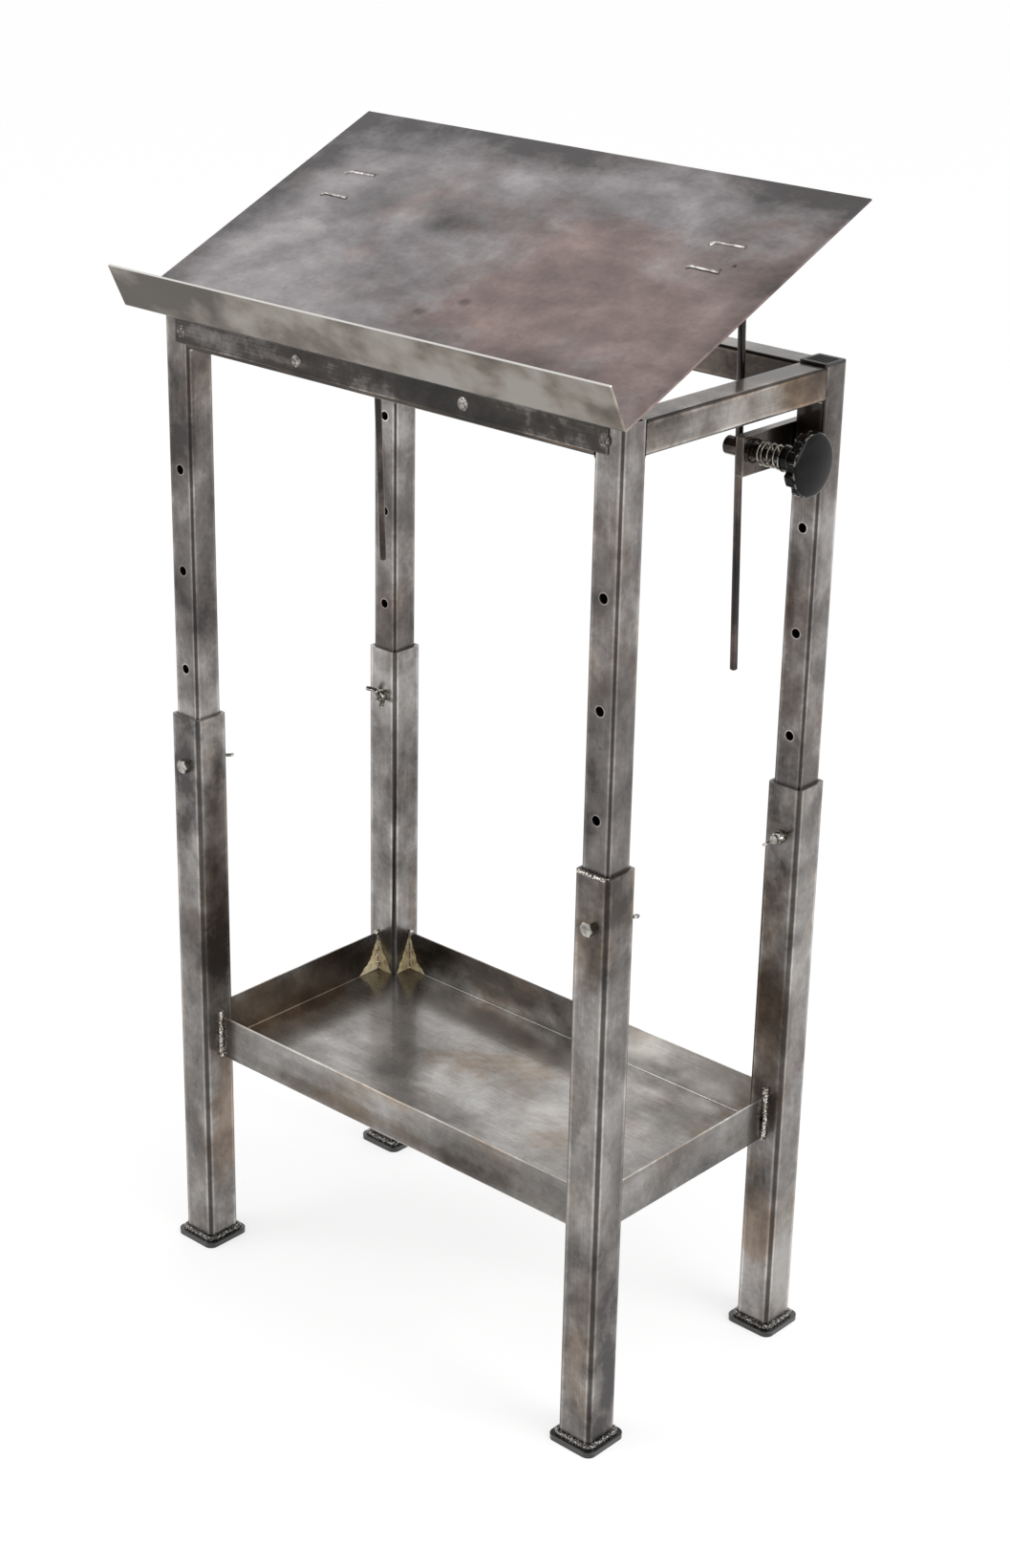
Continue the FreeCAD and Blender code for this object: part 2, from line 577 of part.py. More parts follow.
tray = new_body("shelf_tray")
pad(tray, rectangle(sketch_on(tray, "XY_Plane"), "-tray_left", "tray_right",
                    "-tray_front", "tray_back"), "tray_height")
fillet(tray, "bend_inside + sheet", lambda edge: at(edge, 2, "0"))
pocket(tray, rectangle(sketch_on(tray, "XY_Plane", "sheet"), "-tray_left + sheet",
                       "tray_right - sheet", "-tray_front + sheet", "tray_back - sheet"),
       back=True)
fillet(tray, "bend_inside", lambda edge: at(edge, 2, "sheet")
       and abs(edge.CenterOfMass.x) < value("tray_left - sheet / 2")
       and not runs_along(edge, 2))
for side_x, side_y in CORNERS.values():
    notch = sketch_on(tray, "XY_Plane", "-overrun")
    inner_x = side_x + "(leg_x - outer_tube / 2)"
    inner_y = side_y + "(leg_y - outer_tube / 2)"
    rectangle(notch, inner_x, side_x + "(leg_x + outer_tube)", inner_y,
              side_y + "(leg_y + outer_tube)")
    pocket(tray, notch, back=True)
place(tray, "0", "0", "tray_bottom")

# Long hinge: the lower leaf on the face of the front rail, the upper leaf under the desk

lower_leaf = hinge_leaf("hinge_leaf_lower", 0, "lower_knuckles")
place(lower_leaf, "-leg_x", "hinge_y", "hinge_z", "-90")
upper_leaf = hinge_leaf("hinge_leaf_upper", 1, "upper_knuckles")
place(upper_leaf, "-leg_x", "hinge_y", "hinge_z", "desk_angle")

hinge_pin = doc.addObject("Part::Cylinder", "hinge_pin")
hinge_pin.Label = "hinge_pin"
bind(hinge_pin, "Radius", "pin_diameter / 2")
bind(hinge_pin, "Height", "leg_spacing_wide")
place(hinge_pin, "-leg_x", "hinge_y", "hinge_z", "90", (0, 1, 0))

# Desk: one sheet with its front edge folded up into a lip, in a frame on the hinge axis

desk = new_body("desk_top")
pad(desk, outline(sketch_on(desk, "YZ_Plane", "-desk_left"), [
    ("-fold_reach", "desk_bottom"), ("desk_back_reach", "desk_bottom"),
    ("desk_back_reach", "desk_surface"), ("-fold_reach + sheet", "desk_surface"),
    ("-fold_reach - lip_shift + sheet", "lip_top"), ("-fold_reach - lip_shift", "lip_top")]),
    "desk_left + desk_right")
fillet(desk, "bend_inside + sheet", lambda edge: runs_along(edge, 0)
       and at(edge, 2, "desk_bottom") and at(edge, 1, "-fold_reach"))
fillet(desk, "bend_inside", lambda edge: runs_along(edge, 0)
       and at(edge, 2, "desk_surface") and at(edge, 1, "-fold_reach + sheet"))
bracket_front = "pivot_reach + bracket_back - bracket_side"
holes = sketch_on(desk, "XY_Plane")
circle(holes, "desk_hole", "rod_offset - desk_hole_side", bracket_front)
circle(holes, "desk_hole", "rod_offset - desk_hole_side + desk_hole_step_wide",
       bracket_front + " + desk_hole_step_deep")
pocket(desk, holes, back=True)
place(desk, "0", "hinge_y", "hinge_z", "desk_angle")

# Rods: a bracket under the desk, a bent rod in its flange, a washer and a cotter pin


def rod_bracket(label):
    """An angle of plate in the desk's frame, with its flange face on X zero."""
    body = new_body(label)
    top, low = "desk_bottom", "desk_bottom - bracket_drop"
    thick = "bracket_thickness"
    pad(body, outline(sketch_on(body, "XZ_Plane", "-pivot_reach - bracket_back"), [
        ("0", top), ("-bracket_side", top), ("-bracket_side", "desk_bottom - " + thick),
        ("-" + thick, "desk_bottom - " + thick), ("-" + thick, low), ("0", low)]),
        "bracket_side")
    fillet(body, "bracket_corner", lambda edge: runs_along(edge, 0) and at(edge, 2, low))
    fillet(body, "bend_inside", lambda edge: runs_along(edge, 1)
           and at(edge, 0, "-" + thick) and at(edge, 2, "desk_bottom - " + thick))
    hole = sketch_on(body, "YZ_Plane")
    circle(hole, "rod_diameter + 2 * rod_clearance", "pivot_reach", "-pivot_drop")
    pocket(body, hole, middle=True)
    return body


def stay_rod(label):
    """A rod that hangs from the origin and is bent over towards minus X at its top."""
    body = new_body(label)
    path = sketch_on(body, "XZ_Plane")
    bend, low, end = value("rod_bend"), value("-rod_length"), value("-rod_bend - (%s)" % ROD_END)
    run = path.addGeometry(Part.LineSegment(Vector(0, low, 0), Vector(0, -bend, 0)))
    arc = path.addGeometry(Part.ArcOfCircle(
        Part.Circle(Vector(-bend, -bend, 0), Vector(0, 0, 1), bend), 0, math.pi / 2))
    end_run = path.addGeometry(Part.LineSegment(Vector(-bend, 0, 0), Vector(end, 0, 0)))
    path.addConstraint(Sketcher.Constraint("Coincident", run, 2, arc, 1))
    path.addConstraint(Sketcher.Constraint("Coincident", arc, 2, end_run, 1))
    rule = Sketcher.Constraint("Radius", arc, bend)
    bind(path, "Constraints[%d]" % path.addConstraint(rule), "rod_bend")
    fix_point(path, run, 1, "0", "-rod_length")
    fix_point(path, run, 2, "0", "-rod_bend")
    fix_point(path, end_run, 1, "-rod_bend", "0")
    fix_point(path, end_run, 2, "-rod_bend - (%s)" % ROD_END, "0")
    rod = body.newObject("PartDesign::AdditivePipe", label + "_pipe")
    rod.Profile = circle(sketch_on(body, "XY_Plane", "-rod_length"), "rod_diameter")
    rod.Spine = (path, ["Edge1", "Edge2", "Edge3"])
    chamfer(body, "rod_chamfer", lambda edge: at(edge, 2, "-rod_length"))
    pocket(body, circle(sketch_on(body, "XZ_Plane"), "cotter_diameter + 2 * thread_clearance",
                        "-(%s)" % COTTER_PLACE, "0"), middle=True)
    return body


def flat_washer(label, outside, bore, thickness):
    """A washer that stands on the origin, with its axis along X."""
    body = new_body(label)
    sketch = sketch_on(body, "YZ_Plane")
    circle(sketch, outside)
    circle(sketch, bore)
    pad(body, sketch, thickness)
    return body


COTTER_WIRE_SHARE = 0.8     # of the folded pin, its eye and its leg are one bent wire


def cotter_pin(label):
    """A pin along Y through the origin, with an eye at one end and a bent leg at the other."""
    def piece(kind, name):
        return doc.addObject("Part::" + kind, label + "_" + name)
    wire = "cotter_diameter / 2"
    drawn_wire = "%s * %g" % (wire, COTTER_WIRE_SHARE)
    shank = piece("Cylinder", "shank")
    bind(shank, "Radius", wire)
    bind(shank, "Height", "rod_diameter + cotter_diameter + cotter_leg")
    shank.Placement = Placement(Vector(0, 0, 0), Rotation(Vector(1, 0, 0), -90))
    bind(shank, "Placement.Base.y", "-rod_diameter / 2 - cotter_diameter")
    eye = piece("Torus", "eye")
    eye.Placement = Placement(Vector(0, 0, 0), Rotation(Vector(0, 1, 0), 90))
    bind(eye, "Radius1", "cotter_eye / 2 - cotter_diameter / 2")
    bind(eye, "Radius2", drawn_wire)
    bind(eye, "Placement.Base.y", "-rod_diameter / 2 - cotter_eye / 2 - cotter_diameter / 2")
    leg = piece("Cylinder", "leg")
    bind(leg, "Radius", drawn_wire)
    bind(leg, "Height", "cotter_leg")
    leg.Placement = Placement(Vector(0, 0, 0), Rotation(Vector(1, 0, 0), -30))
    bind(leg, "Placement.Base.y", "rod_diameter / 2 + cotter_leg - cotter_diameter")
    pin = doc.addObject("Part::MultiFuse", label)
    pin.Shapes = [shank, eye, leg]
    pin.Label = label
    return pin


WASHER_PLACE = "flange_gap + bracket_thickness + rod_clearance + washer_thickness"
COTTER_PLACE = WASHER_PLACE + " + cotter_diameter / 2 + rod_clearance"
ROD_END = COTTER_PLACE + " + rod_tail - rod_bend"

for hand, side in (("left", "-"), ("right", "")):
    rod_x = side + "rod_offset"
    place(rod_bracket("rod_bracket_" + hand), rod_x + " - flange_gap", "hinge_y", "hinge_z",
          "desk_angle")
    place(stay_rod("stay_rod_" + hand), rod_x, "pivot_y", "pivot_z", "rod_lean")
    washer = flat_washer("rod_washer_" + hand, "rod_washer",
                         "rod_diameter + 2 * rod_clearance", "washer_thickness")
    place(washer, rod_x + " - (%s)" % WASHER_PLACE, "pivot_y", "pivot_z", "rod_lean")
    place(cotter_pin("cotter_pin_" + hand), rod_x + " - (%s)" % COTTER_PLACE, "pivot_y",
          "pivot_z", "rod_lean + 180")

# Clamps: a plate on each rear leg carries a barrel, a spring, a washer and a knob


def clamp_plate(label, side):
    """A plate in a frame on the clamp axis, its inner face on X zero and leg face outward."""
    body = new_body(label)
    half = "clamp_plate_height / 2"
    pad(body, rectangle(sketch_on(body, "YZ_Plane"), "-clamp_plate_front",
                        "clamp_plate_end - clamp_back", "-" + half, half),
        "clamp_plate_thickness", back=(side == "-"))
    fillet(body, "clamp_plate_edge", lambda edge: runs_along(edge, 0)
           and at(edge, 1, "-clamp_plate_front"))
    pocket(body, circle(sketch_on(body, "YZ_Plane"), "barrel_neck + 2 * swivel_clearance"),
           middle=True)
    return body


def clamp_barrel(label):
    """A barrel along X with its cross hole at the origin, running up Z."""
    body = new_body(label)
    pad(body, circle(sketch_on(body, "YZ_Plane", "-barrel_end"), "barrel_diameter"),
        "barrel_end + shoulder")
    chamfer(body, "barrel_edge", lambda edge: at(edge, 0, "-barrel_end"))
    pad(body, circle(sketch_on(body, "YZ_Plane", "shoulder"), "barrel_neck"),
        "neck_end - shoulder")
    pocket(body, circle(sketch_on(body, "YZ_Plane"), "stud_bore"), back=True)
    pocket(body, circle(sketch_on(body, "XY_Plane"), "barrel_hole"), middle=True)
    return body


HUB_STRAIGHT_SHARE = 0.6                            # of the hub, before it flares
DOME_RISE_SHARE, DOME_RISE_REACH_SHARE = 0.6, 0.34  # of the dome, of the knob's diameter
DOME_FLAT_SHARE = 0.12                              # of the knob's diameter, to its flat
FLUTE_EDGE_SHARE = 0.9                              # of the radius, inside which no edge is


def clamp_knob(label):
    """A fluted knob along X, with its hub on the origin and a low dome on its face."""
    body = new_body(label)
    rim = "knob_hub_length"
    turned = outline(sketch_on(body, "XZ_Plane"), [
        ("0", "bolt_diameter / 2"), ("0", "knob_hub_diameter / 2"),
        ("%s * %g" % (rim, HUB_STRAIGHT_SHARE), "knob_hub_diameter / 2"),
        (rim, "knob_hub_flare / 2"), (rim, "knob_diameter / 2"),
        (rim + " + knob_rim", "knob_diameter / 2"),
        ("%s + knob_rim + knob_dome * %g" % (rim, DOME_RISE_SHARE),
         "knob_diameter * %g" % DOME_RISE_REACH_SHARE),
        ("knob_length", "knob_diameter * %g" % DOME_FLAT_SHARE), ("knob_length", "0"),
        ("stud_in_knob", "0"), ("stud_in_knob", "bolt_diameter / 2")])
    solid = body.newObject("PartDesign::Revolution", label + "_turned")
    solid.Profile = turned
    solid.ReferenceAxis = (axis_of(body, "X_Axis"), [""])
    solid.Angle = 360
    flute = pocket(body, circle(sketch_on(body, "YZ_Plane", rim + " - overrun"), "knob_flute",
                                "0", "flute_centre"),
                   "knob_rim + knob_dome + 2 * overrun", back=True)
    repeat(body, "PolarPattern", [flute], "X_Axis", {"Occurrences": "knob_lobes"})
    body.Tip.Angle = 360
    fillet(body, "knob_edge", lambda edge: (at(edge, 0, rim) or at(edge, 0, rim + " + knob_rim"))
           and math.hypot(edge.CenterOfMass.y, edge.CenterOfMass.z)
           > value("knob_diameter / 2 - knob_flute_depth") * FLUTE_EDGE_SHARE)
    return body


def clamp_stud(label):
    """A threaded stud along X, from its tip at the origin to its end in the knob."""
    body = new_body(label)
    pad(body, circle(sketch_on(body, "YZ_Plane"), "bolt_diameter"), "stud_length")
    chamfer(body, "rod_chamfer", lambda edge: at(edge, 0, "0"))
    return body


def biarc(start, start_way, end, end_way):
    """Two arcs that leave start along its direction and reach end along its own."""
    chord = end - start
    both = start_way + end_way
    a = both.dot(both) - 4
    b = -2 * chord.dot(both)
    c = chord.dot(chord)
    reach = (-b - math.sqrt(b * b - 4 * a * c)) / (2 * a)
    first, last = start + start_way * reach, end - end_way * reach
    joint = (first + last) * 0.5
    arcs = []
    for point, corner, other in ((start, first, joint), (joint, last, end)):
        u = (point - corner).normalize()
        v = (other - corner).normalize()
        middle = (u + v).normalize()
        half = u.getAngle(v) / 2
        centre = corner + middle * (reach / math.cos(half))
        top = centre - middle * (reach * math.tan(half))
        arcs.append(Part.Arc(point, top, other).toShape())
    return arcs


def spring_shape():
    """A coil spring along X from the origin; each wire end turns to stand on its seat."""
    wire, length = value("spring_wire"), value("spring_length")
    radius = (value("spring_diameter") - wire) / 2
    bend = value("spring_end_bend")
    closed, opened = int(value("spring_closed_quarters")), int(value("spring_open_quarters"))
    first_x = wire + bend
    last_x = length - first_x
    closed_step = (wire + value("spring_coil_gap")) / 4
    open_step = (last_x - first_x - closed * closed_step) / opened
    steps = [closed_step] * closed + [open_step] * opened
    places, along = [], first_x
    for i in range(len(steps) + 1):
        places.append(along)
        along += steps[i] if i < len(steps) else 0

    def coil(i):
        turn = math.pi / 2 * i
        return Vector(places[i], radius * math.cos(turn), radius * math.sin(turn))

    def way(i):
        turn = math.pi / 2 * i
        rise = 0 if i in (0, len(steps)) else (steps[i - 1] + steps[i]) / 2
        round_step = radius * math.pi / 2
        return Vector(rise, -round_step * math.sin(turn),
                      round_step * math.cos(turn)).normalize()

    def end_leg(i, sign):
        """The straight end and the bend that leads it into the coil."""
        round_way = way(i)
        round_way.x = 0
        corner = coil(i) - round_way * (sign * bend)
        seat = Vector(corner.x - sign * (wire + bend), corner.y, corner.z)
        knee = Vector(corner.x - sign * bend, corner.y, corner.z)
        centre = knee + round_way * (sign * bend)
        top = centre + (knee - centre + coil(i) - centre).normalize() * bend
        return [Part.LineSegment(seat, knee).toShape(), Part.Arc(knee, top, coil(i)).toShape()]

    edges = end_leg(0, 1)
    for i in range(len(steps)):
        edges += biarc(coil(i), way(i), coil(i + 1), way(i + 1))
    edges += end_leg(len(steps), -1)[::-1]
    path = Part.Wire(Part.__sortEdges__(edges))
    seat = edges[0].Vertexes[0].Point
    section = Part.Wire([Part.Circle(seat, Vector(1, 0, 0), wire / 2).toShape()])
    report_spring(path, edges, wire)
    return path.makePipeShell([section], True, False)


def report_spring(path, edges, wire):
    """Prints the tightest bend of the wire and its least gap to itself."""
    count = 400
    points = path.discretize(Number=count)
    step = path.Length / (count - 1)
    apart = int(4 * wire / step)
    least = min((p - q).Length for i, p in enumerate(points) for q in points[i + apart:])
    tightest = min(edge.Curve.Radius for edge in edges if hasattr(edge.Curve, "Radius"))
    print("spring: least gap %.2f mm, tightest bend %.2f mm" % (least - wire, tightest))


spring_solid = spring_shape()
for hand, side in (("left", "-"), ("right", "")):
    out = (0, 0, 1)
    turn = "180" if side else "0"
    place(clamp_plate("clamp_plate_" + hand, side), side + "plate_inside", "clamp_back",
          "clamp_height")
    barrel = clamp_barrel("clamp_barrel_" + hand)
    if side:
        # Half a turn about the rod's own line faces the left barrel outward.
        place(barrel, "-rod_offset", "clamp_back", "clamp_height", "180", (0, 0, 1))
        bind(barrel, "Placement.Rotation.Axis.y", "-sin(rod_lean * 1 deg)")
        bind(barrel, "Placement.Rotation.Axis.z", "cos(rod_lean * 1 deg)")
    else:
        place(barrel, "rod_offset", "clamp_back", "clamp_height", "rod_lean")
    spring = doc.addObject("Part::Feature", "clamp_spring_" + hand)
    spring.Label = "clamp_spring_" + hand
    spring.Shape = spring_solid
    place(spring, side + "plate_outside", "clamp_back", "clamp_height", turn, out)
    washer = flat_washer("spring_washer_" + hand, "spring_washer_diameter", "washer_bore",
                         "washer_thickness")
    place(washer, side + "washer_inside", "clamp_back", "clamp_height", turn, out)
    place(clamp_knob("clamp_knob_" + hand), side + "knob_start", "clamp_back", "clamp_height",
          turn, out)
    place(clamp_stud("clamp_stud_" + hand), side + "stud_tip", "clamp_back", "clamp_height",
          turn, out)

# Checks, then one file for each piece

doc.recompute()
NODES = [item for item in doc.Objects if not item.InList and hasattr(item, "Shape")]
for item in doc.Objects:
    if "Invalid" in item.State or "Error" in item.State:
        raise SystemExit("%s failed: %s" % (item.Label, item.State))
os.makedirs("parts", exist_ok=True)
for node in NODES:
    shape = node.Shape
    if shape.isNull() or not shape.isValid() or not shape.Solids:
        raise SystemExit("%s has no valid solid" % node.Label)
for node in NODES:
    node.Shape.exportStep("parts/%s.step" % node.Label)
print("%d pieces" % len(NODES))
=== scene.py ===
import math
import random

import bmesh
import bpy
from mathutils import Matrix, Vector


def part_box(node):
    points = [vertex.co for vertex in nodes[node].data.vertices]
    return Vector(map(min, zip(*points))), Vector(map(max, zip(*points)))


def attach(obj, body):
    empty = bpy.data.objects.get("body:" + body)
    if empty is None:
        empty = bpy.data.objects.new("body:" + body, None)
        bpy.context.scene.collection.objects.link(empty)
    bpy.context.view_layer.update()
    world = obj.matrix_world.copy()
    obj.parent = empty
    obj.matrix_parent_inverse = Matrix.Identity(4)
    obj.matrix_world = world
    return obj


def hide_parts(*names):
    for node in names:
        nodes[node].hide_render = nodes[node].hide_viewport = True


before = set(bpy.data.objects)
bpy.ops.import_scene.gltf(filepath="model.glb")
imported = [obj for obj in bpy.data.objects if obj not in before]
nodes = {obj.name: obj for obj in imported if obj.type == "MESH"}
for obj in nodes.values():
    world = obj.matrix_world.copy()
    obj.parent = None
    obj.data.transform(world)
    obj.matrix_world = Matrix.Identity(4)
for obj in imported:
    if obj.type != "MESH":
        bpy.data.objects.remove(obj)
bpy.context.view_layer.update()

scene = bpy.context.scene
CORNERS = {"front_left": (-1, -1), "front_right": (1, -1), "rear_left": (-1, 1), "rear_right": (1, 1)}
SIDES = ("left", "right")

# ------------------------------------------------------------
# Legs. Four outer legs of 43 mm square tube, with 34 mm inner legs sliding in them, all of mild
# steel. The mill scale is ground off, and the bare metal is lacquered clear, so the eye sees
# clouded grey steel, burnt brown in places, with painted reflections down each corner: a dark
# line between two bright ones.

MIDDLE = Vector((5.9, 10.5752, 6.35))        # the middle of the legs, on top of the foot plates
LEG_X, LEG_Y = 293.4, 153.935                # from there to the middle of each leg
LEG_HALF, TUBE_HALF, LEG_ROUND, TUBE_ROUND = 21.55, 17.1, 5.0, 3.3
HOLE_LOW, HOLE_PITCH, HOLE_RADIUS, HOLE_LAST = 376.0, 112.3, 5.15, 937.5


def colour(code):
    """An sRGB hex colour as the linear RGBA that a shader takes."""
    parts = [int(code[i:i + 2], 16) / 255 for i in (1, 3, 5)]
    return tuple(c / 12.92 if c <= 0.04045 else ((c + 0.055) / 1.055) ** 2.4 for c in parts) + (1,)


def add(tree, kind, given=None, **settings):
    """Adds a node, a shader one unless its kind says otherwise, and sets it up. Its inputs are
    filled, or linked to an output or to the first output of a node."""
    made = tree.nodes.new(kind if "Node" in kind else "ShaderNode" + kind)
    for name, setting in settings.items():
        if name == "stops":
            ramp = made.color_ramp
            while len(ramp.elements) < len(setting):
                ramp.elements.new(0.5)
            for element, (place, tone) in zip(ramp.elements, setting):
                element.position = place
                element.color = colour(tone) if isinstance(tone, str) else (tone, tone, tone, 1)
        else:
            setattr(made, name, setting)
    for key, value in (given or {}).items():
        if isinstance(value, bpy.types.Node):
            value = value.outputs[0]
        if isinstance(value, bpy.types.NodeSocket):
            tree.links.new(value, made.inputs[key])
        else:
            made.inputs[key].default_value = value
    return made


def cleared(owner):
    """The node tree of a new material or world, emptied."""
    owner.use_nodes = True
    owner.node_tree.nodes.clear()
    return owner.node_tree


def lacquered_steel(name, tones, brown, along, browned=0.5, rough=0.34, turn=0.0, centre=MIDDLE / 1000,
                    spots=(), brushed=1.0, seed=0.0, spread=0.11, ragged=1.3):
    """Ground and lacquered mild steel, brushed along one axis. A spot is a middle, a reach, and
    how much lighter and how much browner the steel is there. A wider spread makes softer clouds."""
    finish = bpy.data.materials.new(name)
    tree = cleared(finish)
    coords = add(tree, "TexCoord").outputs
    here = add(tree, "Mapping", {"Vector": coords["Object"], "Location": centre,
               "Rotation": (turn, 0, 0)}, vector_type="TEXTURE", label="Place")

    def cloud(millimetres, stretch, detail, seed, distortion=0.4, fine=0.55):
        """Noise with features of a size, drawn out along the brushing."""
        size = [millimetres / 1000] * 3
        size["xyz".index(along)] *= stretch
        scaled = add(tree, "Mapping", {"Vector": here, "Scale": size}, vector_type="TEXTURE")
        return add(tree, "TexNoise", {"Vector": scaled, "W": seed, "Scale": 1, "Detail": detail,
                   "Roughness": fine, "Distortion": distortion}, noise_dimensions="4D")

    clouds = cloud(95, 1.5, 4, seed)                 # heat and grinding, hand-sized
    patches = cloud(34, 1.3, 5, seed + 1, 0.3, 0.6)  # finger-sized
    mottle = cloud(6, 1.0, 4, seed + 2)
    brush = cloud(1.5, 70, 2, seed + 3, 0.0)         # brush marks, coarser than the grit, to show
    level = 0.0
    for noise, share in ((clouds, 0.56), (patches, 0.28), (mottle, 0.10), (brush, 0.06 * brushed)):
        level = add(tree, "Math", {0: noise, 1: share, 2: level}, operation="MULTIPLY_ADD")
    # Stronger or weaker brush marks leave the mean tone as it is.
    level = add(tree, "Math", {0: level, 1: 0.03 * (1 - brushed)}, operation="ADD")
    scorch = cloud(120, 1.4, 6, seed + 4, 0.5, 0.65)
    for middle, reach, lighter, browner in spots:
        away = add(tree, "VectorMath", {0: here, 1: middle}, operation="SUBTRACT")
        away = add(tree, "VectorMath", {0: away, 1: reach}, operation="DIVIDE")
        away = add(tree, "VectorMath", {0: away}, operation="LENGTH").outputs[1]
        away = add(tree, "Math", {0: patches, 1: ragged, 2: away}, operation="MULTIPLY_ADD")
        near = add(tree, "MapRange", {"Value": away, "From Min": 1.1 + ragged / 2,
                   "From Max": 0.2 + ragged / 2}, interpolation_type="SMOOTHSTEP")
        level = add(tree, "Math", {0: near, 1: lighter, 2: level}, operation="MULTIPLY_ADD")
        if browner:
            scorch = add(tree, "Math", {0: near, 1: browner, 2: scorch}, operation="MULTIPLY_ADD")
    dark, mid, light = tones
    tone = add(tree, "ValToRGB", {0: level}, stops=[
        (0.5 - spread, dark), (0.5, mid), (0.5 + spread, light)])
    scorch = add(tree, "MapRange", {"Value": scorch, "From Min": 0.45, "From Max": 0.7,
                 "To Max": browned}, interpolation_type="SMOOTHSTEP")
    burnt = add(tree, "Mix", {0: 1.0, 6: tone, 7: colour(brown)}, data_type="RGBA",
                blend_type="MULTIPLY").outputs[2]
    tone = add(tree, "Mix", {0: scorch, 6: tone, 7: burnt}, data_type="RGBA").outputs[2]
    # Sparse hairline scratches, light, and pits, dark.
    hairs = cloud(0.7, 110, 1, seed + 5, 0.15)
    hairs = add(tree, "MapRange", {"Value": hairs, "From Min": 0.64, "From Max": 0.74, "To Min": 1.0,
                "To Max": 1.35})
    pits = add(tree, "TexNoise", {"Vector": here, "Scale": 300, "Detail": 2})
    pits = add(tree, "MapRange", {"Value": pits, "From Min": 0.70, "From Max": 0.77, "To Min": 1.0,
               "To Max": 0.5})
    marks = add(tree, "Math", {0: hairs, 1: pits}, operation="MULTIPLY")
    tone = add(tree, "VectorMath", {0: tone, 3: marks}, operation="SCALE")
    gloss = add(tree, "MapRange", {"Value": level, "From Min": 0.5 - spread, "From Max": 0.5 + spread,
                "To Min": rough + 0.08, "To Max": rough - 0.07})
    height = add(tree, "Math", {0: brush, 1: 0.3 * brushed, 2: mottle}, operation="MULTIPLY_ADD")
    bump = add(tree, "Bump", {"Strength": 0.12, "Distance": 0.0005, "Height": height})
    shader = add(tree, "BsdfPrincipled", {"Base Color": tone, "Metallic": 1.0, "Roughness": gloss,
                 "Normal": bump, "Coat Weight": 0.5, "Coat Roughness": 0.1}, label="Surface")
    add(tree, "OutputMaterial", {"Surface": shader})
    return finish


def found(finish, label):
    """The node of a finish that carries a label."""
    return next(node for node in finish.node_tree.nodes if node.label == label)


def tint(finish, amount, code=None):
    """Multiplies a finish's colour by an amount, or mixes in a colour by it."""
    tree = finish.node_tree
    target = found(finish, "Surface").inputs["Base Color"]
    tone = target.links[0].from_socket
    if code:
        tone = add(tree, "Mix", {0: amount, 6: tone, 7: colour(code)}, data_type="RGBA").outputs[2]
    else:
        tone = add(tree, "VectorMath", {0: tone, 3: amount}, operation="SCALE").outputs[0]
    tree.links.new(tone, target)


def painted_corner_reflections(finish, half, bend, across):
    """Down a tube's rounded corner, a painted reflection: a dark line between two bright lines. The
    tube is given by half its side, its corner's bend, and the middle of the tube on two axes."""
    tree = finish.node_tree
    sides = add(tree, "SeparateXYZ", {0: found(finish, "Place")}).outputs
    inward = 0.0
    for axis, middle in across:
        away = add(tree, "Math", {0: sides[axis]}, operation="ABSOLUTE")
        away = add(tree, "Math", {0: away, 1: middle / 1000}, operation="SUBTRACT")
        away = add(tree, "Math", {0: away}, operation="ABSOLUTE")
        away = add(tree, "Math", {0: half / 1000, 1: away}, operation="SUBTRACT")
        inward = add(tree, "Math", {0: away, 1: inward}, operation="ADD")
    inward = add(tree, "Math", {0: inward, 1: 100.0}, operation="MULTIPLY")  # in centimetres
    plain = 0.45                                     # the ramp's tone away from the corner
    corner_reflection = add(tree, "ValToRGB", {0: inward}, stops=[
        (0.058 * bend, 0.13), (0.069 * bend, 0.16), (0.082 * bend, 0.6), (0.096 * bend, 0.8),
        (0.1 * bend + 0.07, 0.74), (0.1 * bend + 0.19, 0.5), (0.1 * bend + 0.33, plain)])
    corner_reflection = add(tree, "Math", {0: corner_reflection, 1: 1 / plain}, operation="MULTIPLY")
    tint(finish, corner_reflection)


def painted_edge_highlights(finish, middle, half, width, gain, mirrored=False):
    """Painted highlights along the edges of a box-shaped piece, in millimetres from the centre of its
    finish. The piece may be there twice, mirrored left to right."""
    tree = finish.node_tree
    sides = list(add(tree, "SeparateXYZ", {0: found(finish, "Place")}).outputs)
    if mirrored:
        sides[0] = add(tree, "Math", {0: sides[0]}, operation="ABSOLUTE")
    at_edge = 0.0
    for axis in range(3):
        away = add(tree, "Math", {0: sides[axis], 1: middle[axis] / 1000}, operation="SUBTRACT")
        away = add(tree, "Math", {0: away}, operation="ABSOLUTE")
        close = add(tree, "MapRange", {"Value": away, "From Min": (half[axis] - 1.4 * width) / 1000,
                    "From Max": (half[axis] - 0.6 * width) / 1000})
        at_edge = add(tree, "Math", {0: close, 1: at_edge}, operation="ADD")
    # Two sides meet along an edge, so the sum is two there.
    edge_highlight = add(tree, "MapRange", {"Value": at_edge, "From Min": 1.3, "From Max": 2.0, "To Min": 1.0,
                 "To Max": gain})
    tint(finish, edge_highlight)


def put_on(finish, starts, ends=("",)):
    """Puts one finish on all of each CAD piece whose name is one of the starts and one of the ends."""
    for piece in [nodes[start + end] for start in starts for end in ends]:
        if not piece.material_slots:
            piece.data.materials.append(finish)
        for held in piece.material_slots:
            held.material = finish


